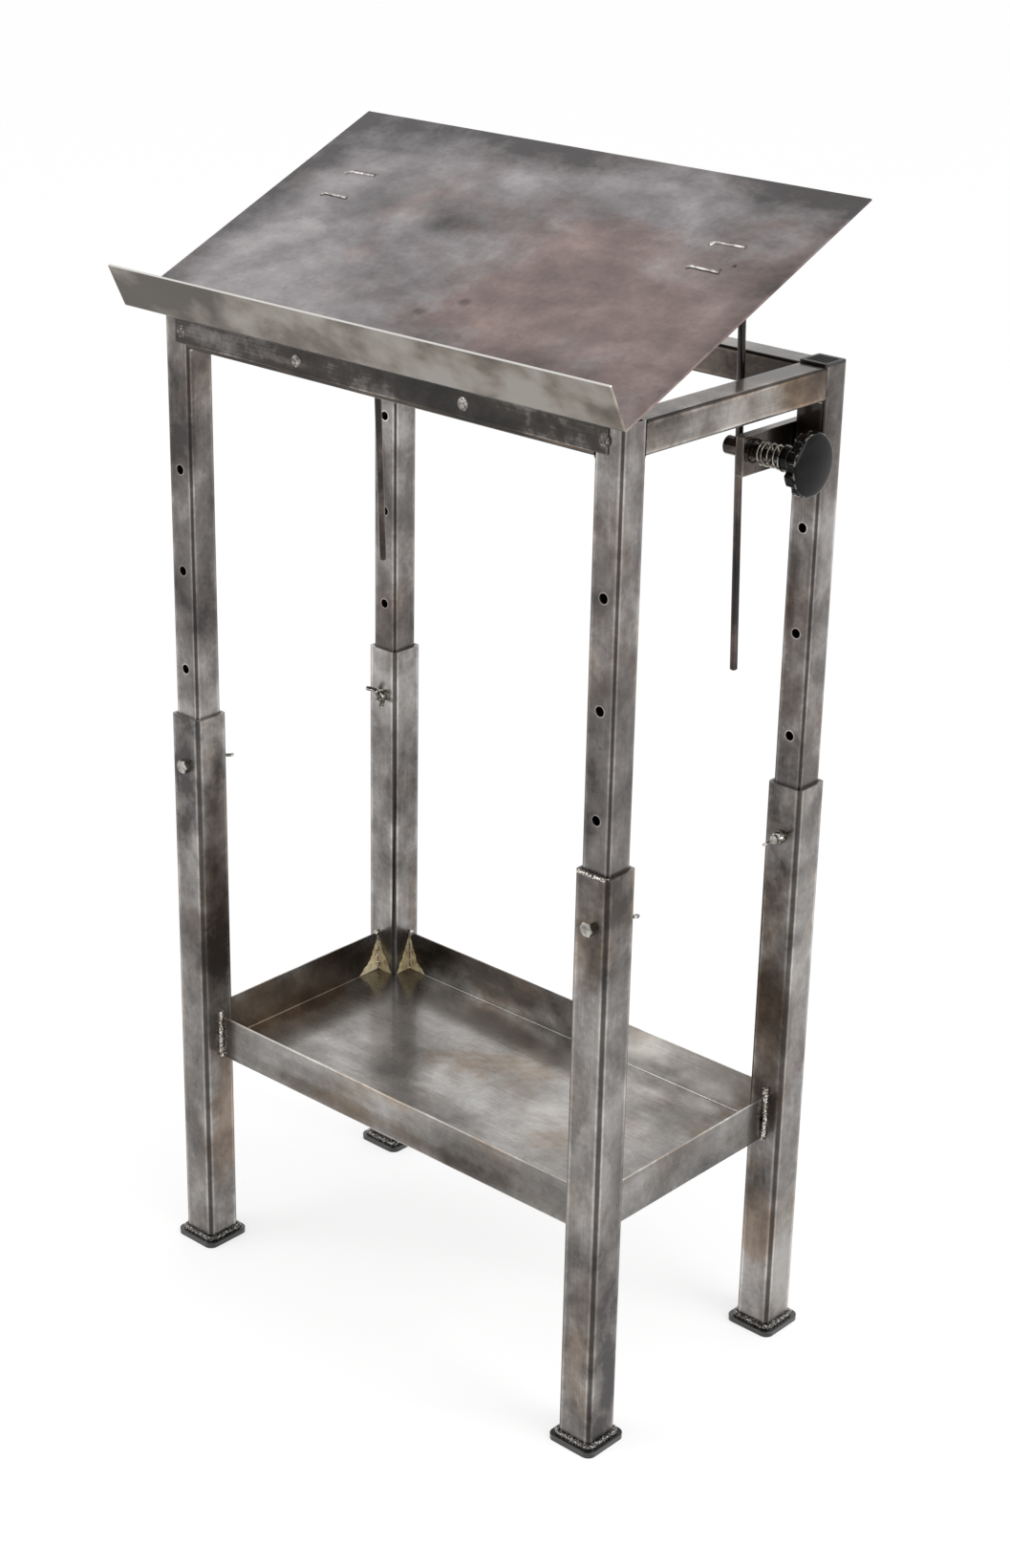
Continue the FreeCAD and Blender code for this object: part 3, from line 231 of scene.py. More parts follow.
# Places that are lighter, darker or browner, in metres from the middle of the legs.
leg_spots = [
    # The first spot is painted shade on the front left leg's face towards the tray, with some brown.
    ((-0.272, -0.15, 0.45), (0.014, 0.03, 0.24), -0.04, 0.1),
    ((-0.272, -0.15, 0.15), (0.014, 0.03, 0.09), 0.05, 0.2),
    ((-0.2934, -0.1755, 0.62), (0.03, 0.012, 0.13), -0.13, -0.1),
    ((-0.2934, -0.1755, 0.24), (0.03, 0.012, 0.05), 0.05, 0.0),
    ((0.315, -0.154, 0.35), (0.012, 0.04, 0.40), -0.025, 0.0),
    ((0.315, -0.154, 0.34), (0.012, 0.03, 0.08), 0.09, -0.1),
    ((0.315, -0.150, 0.05), (0.012, 0.03, 0.10), -0.10, 0.0),
    ((0.315, -0.154, 0.63), (0.012, 0.03, 0.05), -0.05, 0.0),
    ((0.2934, 0.1324, 0.42), (0.03, 0.012, 0.25), -0.06, 0.1),
    ((0.2934, 0.1324, 0.12), (0.03, 0.012, 0.06), 0.05, 0.25),
    ((0.2934, -0.1755, 0.30), (0.03, 0.012, 0.06), 0.05, 0.0),
    ((0.2934, -0.1755, 0.48), (0.03, 0.012, 0.05), 0.05, 0.0),
    ((0.2934, -0.1755, 0.58), (0.03, 0.012, 0.06), -0.05, 0.1),
    ((0.2934, -0.1755, 0.08), (0.03, 0.012, 0.07), -0.06, 0.1),
]
outer_steel = lacquered_steel("Ground mild steel tube, lacquered, outer legs",
                              ("#3d3938", "#76726f", "#a5a29f"), "#d2b8a0", "z", browned=0.8,
                              spots=leg_spots)
inner_spots = [((0.2934, 0.138, 0.85), (0.03, 0.012, 0.30), -0.05, 0.05),
               ((-0.2934, -0.170, 1.0), (0.03, 0.012, 0.12), -0.06, 0.0),
               ((0.2934, 0.138, 1.04), (0.03, 0.03, 0.05), -0.07, 0.2)]
inner_steel = lacquered_steel("Ground mild steel tube, lacquered, inner legs",
                              ("#393534", "#6c6765", "#a09c99"), "#d2b8a0", "z", browned=0.8,
                              spots=inner_spots, seed=11.0)
# Painted reflections down the legs' rounded corners: a dark line between two bright ones.
painted_corner_reflections(outer_steel, LEG_HALF, LEG_ROUND, ((0, LEG_X), (1, LEG_Y)))
painted_corner_reflections(inner_steel, TUBE_HALF, TUBE_ROUND, ((0, LEG_X), (1, LEG_Y)))

# The drilled holes in the inner legs, 112 mm apart up to the last one, get a painted highlight
# round their rims. Above the last one the height is held, so that the pattern doesn't come round again.
tree = inner_steel.node_tree
sides = add(tree, "SeparateXYZ", {0: found(inner_steel, "Place")}).outputs
across = add(tree, "Math", {0: sides[0]}, operation="ABSOLUTE")
across = add(tree, "Math", {0: across, 1: LEG_X / 1000}, operation="SUBTRACT")
up = add(tree, "Math", {0: sides[2], 1: (HOLE_LAST + 0.47 * HOLE_PITCH) / 1000}, operation="MINIMUM")
up = add(tree, "Math", {0: up, 1: (HOLE_LOW - HOLE_PITCH / 2) / 1000}, operation="SUBTRACT")
up = add(tree, "Math", {0: up, 1: HOLE_PITCH / 1000}, operation="MODULO")
up = add(tree, "Math", {0: up, 1: HOLE_PITCH / 2000}, operation="SUBTRACT")
away = add(tree, "CombineXYZ", {0: across, 1: up, 2: 0.0})
away = add(tree, "VectorMath", {0: away}, operation="LENGTH").outputs[1]
rim = add(tree, "MapRange", {"Value": away, "From Min": (HOLE_RADIUS + 1.6) / 1000,
          "From Max": (HOLE_RADIUS + 0.6) / 1000, "To Min": 1.0, "To Max": 2.5})
tint(inner_steel, rim)

put_on(outer_steel, ["outer_leg_"], CORNERS)
put_on(inner_steel, ["inner_leg_"], CORNERS)

# ------------------------------------------------------------
# Rails. Four lengths of the same 34 mm tube between the tops of the inner legs, butt welded and
# ground flush, so the brush marks run along each rail and the metal is browner at the joints.

RAIL_LOW, RAIL_TOP = 1070.2, 1104.4
rail_steel_wide = lacquered_steel("Ground mild steel tube, lacquered, front and rear rails",
                                  ("#17120f", "#352c26", "#5f564e"), "#c8a882", "x", browned=0.9, seed=21.0)
rail_spots = [((0.3, 0.11, 1.09), (0.05, 0.05, 0.04), -0.03, 0.2),
              ((0.29, 0.0, 1.104), (0.03, 0.25, 0.007), -0.05, 0.22),
              ((0.31, -0.03, 1.085), (0.006, 0.06, 0.02), 0.03, -0.1)]
rail_steel_deep = lacquered_steel("Ground mild steel tube, lacquered, side rails",
                                  ("#3a342f", "#736c66", "#aaa5a0"), "#ccab86", "y", browned=0.9,
                                  spots=rail_spots, seed=22.0)
# Each rail gets painted reflections down its rounded corners too.
for finish, names, middle in ((rail_steel_wide, ("rail_front", "rail_rear"), (1, LEG_Y)),
                              (rail_steel_deep, ("rail_left", "rail_right"), (0, LEG_X))):
    painted_corner_reflections(finish, TUBE_HALF, TUBE_ROUND, (middle, (2, (RAIL_LOW + RAIL_TOP) / 2)))
    put_on(finish, names)

# ------------------------------------------------------------
# Foot plates. Squares of 6 mm plate, welded on under each leg and sprayed with black gloss
# enamel together with their welds. The eye gets wet-looking black with sharp glints.


def mottled(name, size, stops, rough, strength, depth, metal=0.0, coat=(0.0, 0.03), specular=0.5):
    """A finish of one mottle: its grain in millimetres, its colours, its roughness where the grain
    is low and high, its bump, and the weight and roughness of its coat."""
    finish = bpy.data.materials.new(name)
    tree = cleared(finish)
    here = add(tree, "TexCoord").outputs["Object"]
    grain = add(tree, "TexNoise", {"Vector": here, "Scale": 1000 / size, "Detail": 4, "Roughness": 0.65})
    tone = add(tree, "ValToRGB", {0: grain}, stops=stops)
    gloss = add(tree, "MapRange", {"Value": grain, "From Min": 0.3, "From Max": 0.7,
                "To Min": rough[0], "To Max": rough[1]})
    bump = add(tree, "Bump", {"Strength": strength, "Distance": depth / 1000, "Height": grain})
    shader = add(tree, "BsdfPrincipled", {"Base Color": tone, "Metallic": metal, "Roughness": gloss,
                 "Normal": bump, "Coat Weight": coat[0], "Coat Roughness": coat[1],
                 "Specular IOR Level": specular}, label="Surface")
    add(tree, "OutputMaterial", {"Surface": shader})
    return finish


foot_enamel = mottled("Black gloss enamel, sprayed", 6,
                      [(0.4, "#0a0909"), (0.62, "#1a1817"), (0.78, "#45403c")], (0.1, 0.32), 0.25, 0.8,
                      coat=(0.6, 0.06))
put_on(foot_enamel, ["foot_plate_"], CORNERS)

# ------------------------------------------------------------
# Weld beads. Stick welds left as laid: round each leg on its foot plate, at the tray's corners,
# on two collars and at the rails. The metal is rippled and lumpy, dark between bright crests.

BEAD_SIZES = ("Bead radius", "Lump depth", "Lump size", "Ripple height", "Ripple pitch")
bead_tree = tree = bpy.data.node_groups.new("Weld bead along a run", "GeometryNodeTree")
for label, kind in (("Runs", "Geometry"), *[(label, "Float") for label in BEAD_SIZES], ("Seed", "Float"),
                    ("Finish", "Material")):
    tree.interface.new_socket(label, in_out="INPUT", socket_type="NodeSocket" + kind)
tree.interface.new_socket("Bead", in_out="OUTPUT", socket_type="NodeSocketGeometry")
given = add(tree, "NodeGroupInput").outputs
run = add(tree, "GeometryNodeMeshToCurve", {"Mesh": given["Runs"]})
run = add(tree, "GeometryNodeResampleCurve", {"Curve": run, "Length": 0.0007}, mode="LENGTH")
ring = add(tree, "GeometryNodeCurvePrimitiveCircle", {"Resolution": 10, "Radius": given["Bead radius"]})
bead = add(tree, "GeometryNodeCurveToMesh", {"Curve": run, "Profile Curve": ring, "Fill Caps": True})
per_metre = add(tree, "Math", {0: 1.0, 1: given["Lump size"]}, operation="DIVIDE")
where = add(tree, "GeometryNodeInputPosition")
lump = add(tree, "TexNoise", {"Vector": where, "W": given["Seed"], "Scale": per_metre, "Detail": 2,
           "Roughness": 0.6}, noise_dimensions="4D")
lift = add(tree, "Math", {0: lump, 1: 0.55}, operation="SUBTRACT")
lift = add(tree, "Math", {0: lift, 1: given["Lump depth"]}, operation="MULTIPLY")
slant = add(tree, "VectorMath", {0: where, 1: (1.0, 1.0, 1.0)}, operation="DOT_PRODUCT").outputs[1]
wave = add(tree, "Math", {0: slant, 1: given["Ripple pitch"]}, operation="DIVIDE")
wave = add(tree, "Math", {0: wave, 1: 2 * math.pi}, operation="MULTIPLY")
wave = add(tree, "Math", {0: wave}, operation="SINE")
lift = add(tree, "Math", {0: wave, 1: given["Ripple height"], 2: lift}, operation="MULTIPLY_ADD")
outward = add(tree, "GeometryNodeInputNormal")
shift = add(tree, "VectorMath", {0: outward, 3: lift}, operation="SCALE")
bead = add(tree, "GeometryNodeSetPosition", {"Geometry": bead, "Offset": shift})
bead = add(tree, "GeometryNodeSetShadeSmooth", {"Geometry": bead})
bead = add(tree, "GeometryNodeRealizeInstances", {"Geometry": bead})
bead = add(tree, "GeometryNodeSetMaterial", {"Geometry": bead, "Material": given["Finish"]})
add(tree, "NodeGroupOutput", {0: bead})


def lay_beads(name, runs, radius, depth, size, finish, seed=0.0, ripple=(0.0, 3.0), body="root"):
    """Beads along runs of points, in millimetres from the middle of the legs and the top of the
    foot plates. A run whose ends meet is closed."""
    path = bpy.data.meshes.new(name + "_path")
    points, edges = [], []
    for run_points in runs:
        first, closed = len(points), run_points[0] == run_points[-1]
        kept = run_points[:-1] if closed else run_points
        points += [(MIDDLE + Vector(point)) / 1000 for point in kept]
        edges += [(first + i, first + i + 1) for i in range(len(kept) - 1)]
        if closed:
            edges.append((first + len(kept) - 1, first))
    path.from_pydata(points, edges, [])
    piece = bpy.data.objects.new(name, path)
    scene.collection.objects.link(piece)
    modifier = piece.modifiers.new("Beads", "NODES")
    modifier.node_group = bead_tree
    sizes = [length / 1000 for length in (radius, depth, size, *ripple)]
    wanted = {"Seed": seed, "Finish": finish, **dict(zip(BEAD_SIZES, sizes))}
    for item in bead_tree.interface.items_tree:
        if item.in_out == "INPUT" and item.name in wanted:
            modifier[item.identifier] = wanted[item.name]
    shown = piece.evaluated_get(bpy.context.evaluated_depsgraph_get())
    solid = bpy.data.meshes.new_from_object(shown)
    piece.modifiers.clear()
    piece.data = solid
    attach(piece, body)


def corner_run(cx, cy, half, radius, z):
    """A closed run round a square with rounded corners."""
    run_points = []
    for quarter in range(4):
        middle = math.radians(45 + 90 * quarter)
        x = cx + math.copysign(half - radius, math.cos(middle))
        y = cy + math.copysign(half - radius, math.sin(middle))
        for step in range(5):
            turn = math.radians(90 * quarter + 22.5 * step)
            run_points.append((x + radius * math.cos(turn), y + radius * math.sin(turn), z))
    return run_points + run_points[:1]


weld_metal = mottled("Weld metal, as laid", 2.4, [(0.36, "#322c29"), (0.48, "#857c73"), (0.57, "#e6e1da")],
                     (0.4, 0.14), 0.7, 1.2, metal=1.0, coat=(0.4, 0.1))
foot_runs = []
for side_x, side_y in CORNERS.values():
    foot_runs.append(corner_run(side_x * LEG_X, side_y * LEG_Y, LEG_HALF + 1.6, 5.5, 1.4))
foot_weld = mottled("Weld metal under black enamel", 2.2,
                    [(0.42, "#0c0b0b"), (0.53, "#35312e"), (0.6, "#c6c1ba")], (0.3, 0.08), 0.8, 1.4,
                    metal=0.6, coat=(0.8, 0.05))
lay_beads("foot_weld_beads", foot_runs, 3.4, 3.6, 3.8, foot_weld, 1.0, (0.35, 4.0))

TRAY_LEFT, TRAY_RIGHT, TRAY_FRONT, TRAY_REAR = -300.6, 293.2, -151.4, 160.8
TRAY_LOW, TRAY_TOP, TRAY_SHEET = 236.5, 288.5, 1.9
# The inner faces of the left and right legs, and the front faces of the rear ones.
LEFT_LEGS, RIGHT_LEGS, REAR_LEGS = -LEG_X + LEG_HALF, LEG_X - LEG_HALF, LEG_Y - LEG_HALF
tray_runs = [[(LEFT_LEGS + 1.0, TRAY_FRONT - 1.4, 239), (LEFT_LEGS + 1.6, TRAY_FRONT - 2.4, 262),
              (LEFT_LEGS + 1.2, TRAY_FRONT - 1.8, 297)],
             [(LEG_X + 1.4, REAR_LEGS - 1.0, 237.5), (LEG_X + 3.2, REAR_LEGS - 1.6, 262),
              (LEG_X + 1.8, REAR_LEGS - 1, 302)],
             [(TRAY_LEFT - 0.2, REAR_LEGS - 0.5, 239), (TRAY_LEFT - 0.2, REAR_LEGS - 0.7, 287)],
             [(LEG_X, -REAR_LEGS + 0.5, 239), (LEG_X, -REAR_LEGS + 0.5, 287)],
             [(RIGHT_LEGS - 0.5, TRAY_FRONT - 0.8, 240), (RIGHT_LEGS - 0.5, TRAY_FRONT - 0.8, 288)],
             [(TRAY_LEFT - 0.2, -REAR_LEGS + 0.5, 240), (TRAY_LEFT - 0.2, -REAR_LEGS + 0.5, 288)],
             [(LEFT_LEGS + 0.5, TRAY_REAR + 0.2, 240), (LEFT_LEGS + 0.7, TRAY_REAR + 0.4, 287)],
             [(RIGHT_LEGS - 0.5, TRAY_REAR + 0.2, 240), (RIGHT_LEGS - 0.5, TRAY_REAR + 0.4, 287)]]
lay_beads("tray_weld_beads", tray_runs, 3.3, 4.2, 4.2, weld_metal, 2.0, (0.35, 3.6))
blobs = [[(LEG_X + 1.2, REAR_LEGS - 1.2, 294), (LEG_X + 2.0, REAR_LEGS - 1.2, 300)],
         [(LEFT_LEGS + 1.5, TRAY_REAR - 2.0, 286), (LEFT_LEGS + 4.5, TRAY_REAR - 1.4, 289.2)],
         [(TRAY_LEFT + 1.0, REAR_LEGS - 1.2, 286), (TRAY_LEFT + 0.8, REAR_LEGS - 4.0, 289.0)]]
lay_beads("tray_weld_blobs", blobs, 3.4, 3.0, 5.0, weld_metal, 2.5)

COLLAR = 657.4                               # the top of the outer legs
collar_runs = [
    [(LEG_X - 17.5, -LEG_Y - 20.5, COLLAR - 1.2), (LEG_X + 3, -LEG_Y - 20.9, COLLAR - 1.1),
     (LEG_X + 15.0, -LEG_Y - 20.5, COLLAR - 1.2), (LEG_X + 19.6, -LEG_Y - 17.2, COLLAR - 1.4)],
    [(-LEG_X + 14.8, -LEG_Y - 19.9, COLLAR - 1.2), (-LEG_X + 19.4, -LEG_Y - 16.8, COLLAR - 1.2)]]
lay_beads("collar_weld_beads", collar_runs, 2.1, 0.9, 3.0, weld_metal, 3.0, (0.45, 3.2))

rail_runs = []
for side_x, side_y in CORNERS.values():
    x, y = side_x * (LEG_X - TUBE_HALF), side_y * (LEG_Y - TUBE_HALF)
    rail_runs += [[(x, side_y * LEG_Y + along, RAIL_LOW - 0.7) for along in (-14.5, 14.5)],
                  [(side_x * LEG_X + along, y, RAIL_LOW - 0.7) for along in (-14.5, 14.5)],
                  [(x, y, z) for z in (RAIL_LOW + 3, RAIL_TOP - 3)]]
lay_beads("rail_weld_beads", rail_runs, 2.3, 2.6, 4.0, weld_metal, 4.0)
# The butt welds that are ground down still stand a little proud on the outer faces.
seam_runs = []
for side_x, side_y in CORNERS.values():
    x, y = side_x * (LEG_X + TUBE_HALF - 0.5), side_y * (LEG_Y - TUBE_HALF)
    seam_runs.append([(x, y, z) for z in (RAIL_LOW + 2, RAIL_TOP - 2)])
for side_x in (-1, 1):
    x, y = side_x * (LEG_X - TUBE_HALF), LEG_Y + TUBE_HALF - 0.5
    seam_runs.append([(x, y, z) for z in (RAIL_LOW + 2, RAIL_TOP - 2)])
lay_beads("ground_seams", seam_runs, 1.1, 0.8, 5.0, rail_steel_deep, 4.5)

# ------------------------------------------------------------
# Tray shelf. One folded sheet of 1.9 mm steel, notched round the legs. The floor is pale grey
# in the middle and burnt brown at the left, and the rims are ground along, with painted highlights
# on the edges and folds.

TRAY_MIDDLE = ((TRAY_RIGHT + TRAY_LEFT) / 2, (TRAY_REAR + TRAY_FRONT) / 2, (TRAY_LOW + TRAY_TOP) / 2)
TRAY_HALF = ((TRAY_RIGHT - TRAY_LEFT) / 2, (TRAY_REAR - TRAY_FRONT) / 2, (TRAY_TOP - TRAY_LOW) / 2)
tray_spots = [
    ((-0.30, 0.0, 0.25), (0.03, 0.20, 0.05), -0.03, 0.30),
    ((0.0, 0.165, 0.24), (0.30, 0.02, 0.02), -0.04, 0.0),
    ((-0.28, 0.15, 0.24), (0.04, 0.04, 0.05), -0.08, 0.12),
    ((-0.14, 0.161, 0.27), (0.20, 0.02, 0.03), -0.12, 0.15),
    ((0.15, 0.161, 0.27), (0.16, 0.02, 0.04), 0.13, -0.1),
    ((0.24, 0.12, 0.238), (0.04, 0.05, 0.02), -0.04, 0.1),
    ((-0.04, 0.0, 0.238), (0.34, 0.17, 0.02), 0.04, 0.0),
    ((0.0, -0.151, 0.25), (0.3, 0.01, 0.014), -0.05, 0.1),
    ((-0.08, 0.095, 0.238), (0.22, 0.06, 0.02), 0.09, -0.05),
    ((0.0, -0.07, 0.238), (0.20, 0.035, 0.02), -0.05, 0.0),
    ((0.285, 0.0, 0.238), (0.03, 0.14, 0.02), -0.06, 0.0),
    ((0.0, -0.152, 0.284), (0.34, 0.01, 0.012), 0.07, 0.0),
    ((0.294, 0.0, 0.262), (0.008, 0.14, 0.04), -0.03, 0.0),
    ((-0.11, 0.14, 0.238), (0.15, 0.035, 0.02), 0.08, 0.0),
]
tray_steel = lacquered_steel("Folded mild steel sheet, lacquered, ground along",
                             ("#403c39", "#7c7976", "#aba9a6"), "#ccb294", "x", browned=0.85, rough=0.27,
                             spots=tray_spots, brushed=2.4, seed=34.0, spread=0.17, ragged=0.9)
# What faces up, the floor and the tops of the rims, gets painted light from above and is paler than the
# rims.
tree = tray_steel.node_tree
painted_top_light = add(tree, "TexCoord").outputs["Normal"]
painted_top_light = add(tree, "SeparateXYZ", {0: painted_top_light}).outputs[2]
painted_top_light = add(tree, "MapRange", {"Value": painted_top_light, "From Min": 0.7, "From Max": 0.95,
           "To Min": 1.0, "To Max": 1.35})
tint(tray_steel, painted_top_light)
# Painted highlights along the tray's outer edges.
painted_edge_highlights(tray_steel, TRAY_MIDDLE, TRAY_HALF, 1.4, 2.2)
# Inside, the folds between floor and rims get painted highlights too.
inside = [h - TRAY_SHEET + 0.9 for h in TRAY_HALF]
painted_edge_highlights(tray_steel, (TRAY_MIDDLE[0], TRAY_MIDDLE[1], TRAY_TOP),
                (inside[0], inside[1], TRAY_TOP - TRAY_LOW - TRAY_SHEET + 0.9), 1.7, 2.2)
put_on(tray_steel, ["shelf_tray"])

# ------------------------------------------------------------
# Long hinge. Two leaves of 1.5 mm strip rolled into 45 knuckles on a 2.8 mm pin. The lower leaf
# is plug welded to the front rail in four places, and the welds stand out as rough buttons.

HINGE = Vector((5.9, -163.4598, 1109.55))
hinge_spots = [((-0.255, -0.173, 1.09), (0.05, 0.02, 0.012), 0.07, 0.0),
               ((-0.12, -0.173, 1.084), (0.05, 0.02, 0.008), 0.07, 0.0),
               ((0.12, -0.173, 1.085), (0.17, 0.02, 0.04), -0.13, 0.0)]
hinge_steel = lacquered_steel("Rolled hinge strip, lacquered", ("#1d1a19", "#37322f", "#807b77"), "#c9b09a",
                              "x", browned=0.5, spots=hinge_spots, brushed=1.5, seed=46.0)
put_on(hinge_steel, ["hinge_leaf_upper", "hinge_pin"])
# A copy for the lower leaf, with painted highlights along its edges.
lower_steel = hinge_steel.copy()
lower_steel.name = "Rolled hinge strip, lacquered, edges highlighted"
low, high = [point * 1000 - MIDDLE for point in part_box("hinge_leaf_lower")]
LEAF_FACE, LEAF_SHEET = (HINGE - MIDDLE).y + 1.5, 1.5
painted_edge_highlights(lower_steel, ((low.x + high.x) / 2, LEAF_FACE + LEAF_SHEET / 2, (low.z + high.z) / 2),
                ((high.x - low.x) / 2, LEAF_SHEET / 2, (high.z - low.z) / 2), 1.1, 2.6)
put_on(lower_steel, ["hinge_leaf_lower"])


def turned(rings, place, count=48, outline=None):
    """A closed turned shape: rings of (along, radius, share of the outline), from pole to pole."""
    shape = bmesh.new()
    loops = []
    for along, radius, share in rings[1:-1]:
        loop = []
        for i in range(count):
            angle = 2 * math.pi * i / count
            reach = radius * (1 - share + share * outline(angle)) if outline else radius
            point = Vector((along, reach * math.cos(angle), reach * math.sin(angle)))
            loop.append(shape.verts.new(place @ point))
        loops.append(loop)
    poles = [shape.verts.new(place @ Vector((rings[i][0], 0, 0))) for i in (0, -1)]
    for low, high in zip(loops, loops[1:]):
        for i in range(count):
            shape.faces.new((low[i], low[i - 1], high[i - 1], high[i]))
    for i in range(count):
        shape.faces.new((poles[0], loops[0][i - 1], loops[0][i]))
        shape.faces.new((poles[1], loops[-1][i], loops[-1][i - 1]))
    bmesh.ops.recalc_face_normals(shape, faces=shape.faces)
    return shape


def finish_piece(name, shape, finish, body, smooth=True):
    """Makes an object of a shape in millimetres, and fixes it to a body."""
    bmesh.ops.scale(shape, vec=(0.001, 0.001, 0.001), verts=shape.verts)
    mesh = bpy.data.meshes.new(name)
    shape.to_mesh(mesh)
    shape.free()
    mesh.materials.append(finish)
    for face in mesh.polygons:
        face.use_smooth = smooth
    if smooth:
        mesh.set_sharp_from_angle(angle=math.radians(45))
    piece = bpy.data.objects.new(name, mesh)
    scene.collection.objects.link(piece)
    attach(piece, body)
    return piece


chance = random.Random(7)
button_steel = mottled("Plug weld, ground and lacquered", 4,
                       [(0.36, "#565150"), (0.5, "#7d7875"), (0.62, "#b9b4af")], (0.36, 0.2), 0.25, 0.6,
                       metal=1.0, coat=(0.4, 0.1))
flush_steel = mottled("Plug weld, ground nearly flush", 3,
                      [(0.4, "#3b3634"), (0.55, "#5f5956"), (0.66, "#a8a29d")], (0.4, 0.24), 0.25, 0.6,
                      metal=1.0, coat=(0.4, 0.1))
# A button's rings, along its axis and across. Each button has its place along the rail, and the
# share of its height that the grinding has left.
BUTTON = [(-1.2, 0), (-1.2, 6.6), (0.05, 6.6), (0.7, 6.0), (1.0, 5.2), (0.6, 4.3), (0.5, 3.5), (1.0, 2.4),
          (1.3, 1.3), (1.4, 0)]
BUTTON_UP, BUTTON_ROUGHNESS = 1088, 0.2
for number, (x, rise) in enumerate(((-284.0, 0.25), (-112.8, 1.0), (113.9, 0.8), (289.2, 0.3))):
    place = Matrix.Translation(MIDDLE + Vector((x, LEAF_FACE, BUTTON_UP)))
    place = place @ Matrix.Rotation(math.radians(-90), 4, "Z")
    rings = [(along * (rise if along > 0 else 1), radius, 0) for along, radius in BUTTON]
    button = turned(rings, place, 24)
    for vertex in button.verts:
        vertex.co += Vector([chance.uniform(-BUTTON_ROUGHNESS, BUTTON_ROUGHNESS) for _ in range(3)]) * rise
    finish_piece("plug_weld_%d" % (number + 1), button, button_steel if rise > 0.5 else flush_steel, "root")

# ------------------------------------------------------------
# Desk. One sheet of 1.9 mm steel, 680 by 395 mm, with its front edge folded up into a lip. It is
# ground and lacquered: bluish grey clouds at the left, pinkish brown at the right front, nearly
# black along the far edges. The face of the lip is paler and stained olive at its left end.

SLOPE = math.radians(24)
# Its clouds, and one band of painted shade, in metres: the place across and up the slope, the reach
# both ways, and how much lighter and browner the steel is there.
DESK_CLOUDS_AND_SHADE = [(-0.02, 0.40, 0.90, 0.075, -0.11, 0.0), (-0.30, 0.36, 0.18, 0.12, -0.05, -0.1),
          (-0.37, 0.20, 0.07, 0.50, -0.15, 0.0), (0.28, 0.38, 0.18, 0.10, -0.09, 0.0),
          (0.335, 0.22, 0.05, 0.38, -0.13, 0.05), (-0.06, 0.25, 0.12, 0.055, -0.07, 0.05),
          (-0.215, 0.235, 0.05, 0.065, -0.05, 0.0), (0.13, 0.325, 0.13, 0.05, 0.03, -0.15),
          (-0.27, 0.13, 0.12, 0.14, 0.06, -0.15), (0.30, 0.12, 0.03, 0.09, 0.06, 0.0),
          (0.19, 0.12, 0.33, 0.22, 0.01, 0.24), (0.0, 0.05, 0.50, 0.06, 0.03, 0.0),
          (0.022, 0.114, 0.009, 0.008, -0.15, 0.0), (-0.015, 0.086, 0.011, 0.008, -0.13, 0.0),
          (0.21, 0.30, 0.08, 0.03, -0.04, 0.0), (-0.06, 0.365, 0.17, 0.045, -0.08, 0.0),
          (0.15, 0.375, 0.05, 0.03, 0.06, 0.0), (0.045, 0.245, 0.07, 0.045, 0.08, 0.0),
          (-0.205, 0.175, 0.06, 0.05, -0.09, 0.0), (-0.305, 0.26, 0.05, 0.04, 0.05, 0.0),
          # The band just up the slope from the fold, at 0.05 m and darker by 0.06, is painted shadow and
          # reflection of the lip.
          (0.08, 0.05, 0.28, 0.025, -0.06, 0.0), (-0.20, 0.015, 0.08, 0.03, -0.08, 0.0)]
desk_spots = [((x, a, 0.005), (wide, deep, 0.05), lighter, browner)
              for x, a, wide, deep, lighter, browner in DESK_CLOUDS_AND_SHADE]
desk_steel = lacquered_steel("Folded mild steel sheet, lacquered, clouded",
                             ("#3c3839", "#837e7f", "#b4b0b1"), "#e0bcae", "x", browned=0.8, rough=0.36,
                             turn=SLOPE, centre=HINGE / 1000, spots=desk_spots, brushed=0.6, seed=58.0,
                             spread=0.19, ragged=0.35)
tree = desk_steel.node_tree
here = found(desk_steel, "Place")
parts = add(tree, "SeparateXYZ", {0: here}).outputs
# The lip in front of the fold is ground paler, in soft clouds 60 mm across.
along = add(tree, "VectorMath", {0: here, 1: (0.7, 1.0, 1.0)}, operation="MULTIPLY")
stain = add(tree, "TexNoise", {"Vector": along, "Scale": 22, "Detail": 4, "Roughness": 0.5,
            "Distortion": 0.15})
olive = add(tree, "MapRange", {"Value": parts[0], "From Min": -0.34, "From Max": 0.0, "To Min": -0.22,
            "To Max": 0.0}, interpolation_type="SMOOTHSTEP")
stain = add(tree, "Math", {0: stain, 1: olive}, operation="ADD")
lip_tone = add(tree, "ValToRGB", {0: stain}, stops=[
    (0.28, "#453d34"), (0.40, "#675f55"), (0.50, "#847d74"), (0.60, "#928d86")])
on_lip = add(tree, "MapRange", {"Value": parts[1], "From Min": -0.0042, "From Max": -0.0062})
base = found(desk_steel, "Surface").inputs["Base Color"]
tone = add(tree, "Mix", {0: on_lip, 6: base.links[0].from_socket, 7: lip_tone}, data_type="RGBA").outputs[2]
tree.links.new(tone, base)
# A painted highlight along the top edge of the lip.
lip_top_highlight = add(tree, "MapRange", {"Value": parts[2], "From Min": 0.0542, "From Max": 0.0552})
tint(desk_steel, lip_top_highlight, "#d6d3cf")
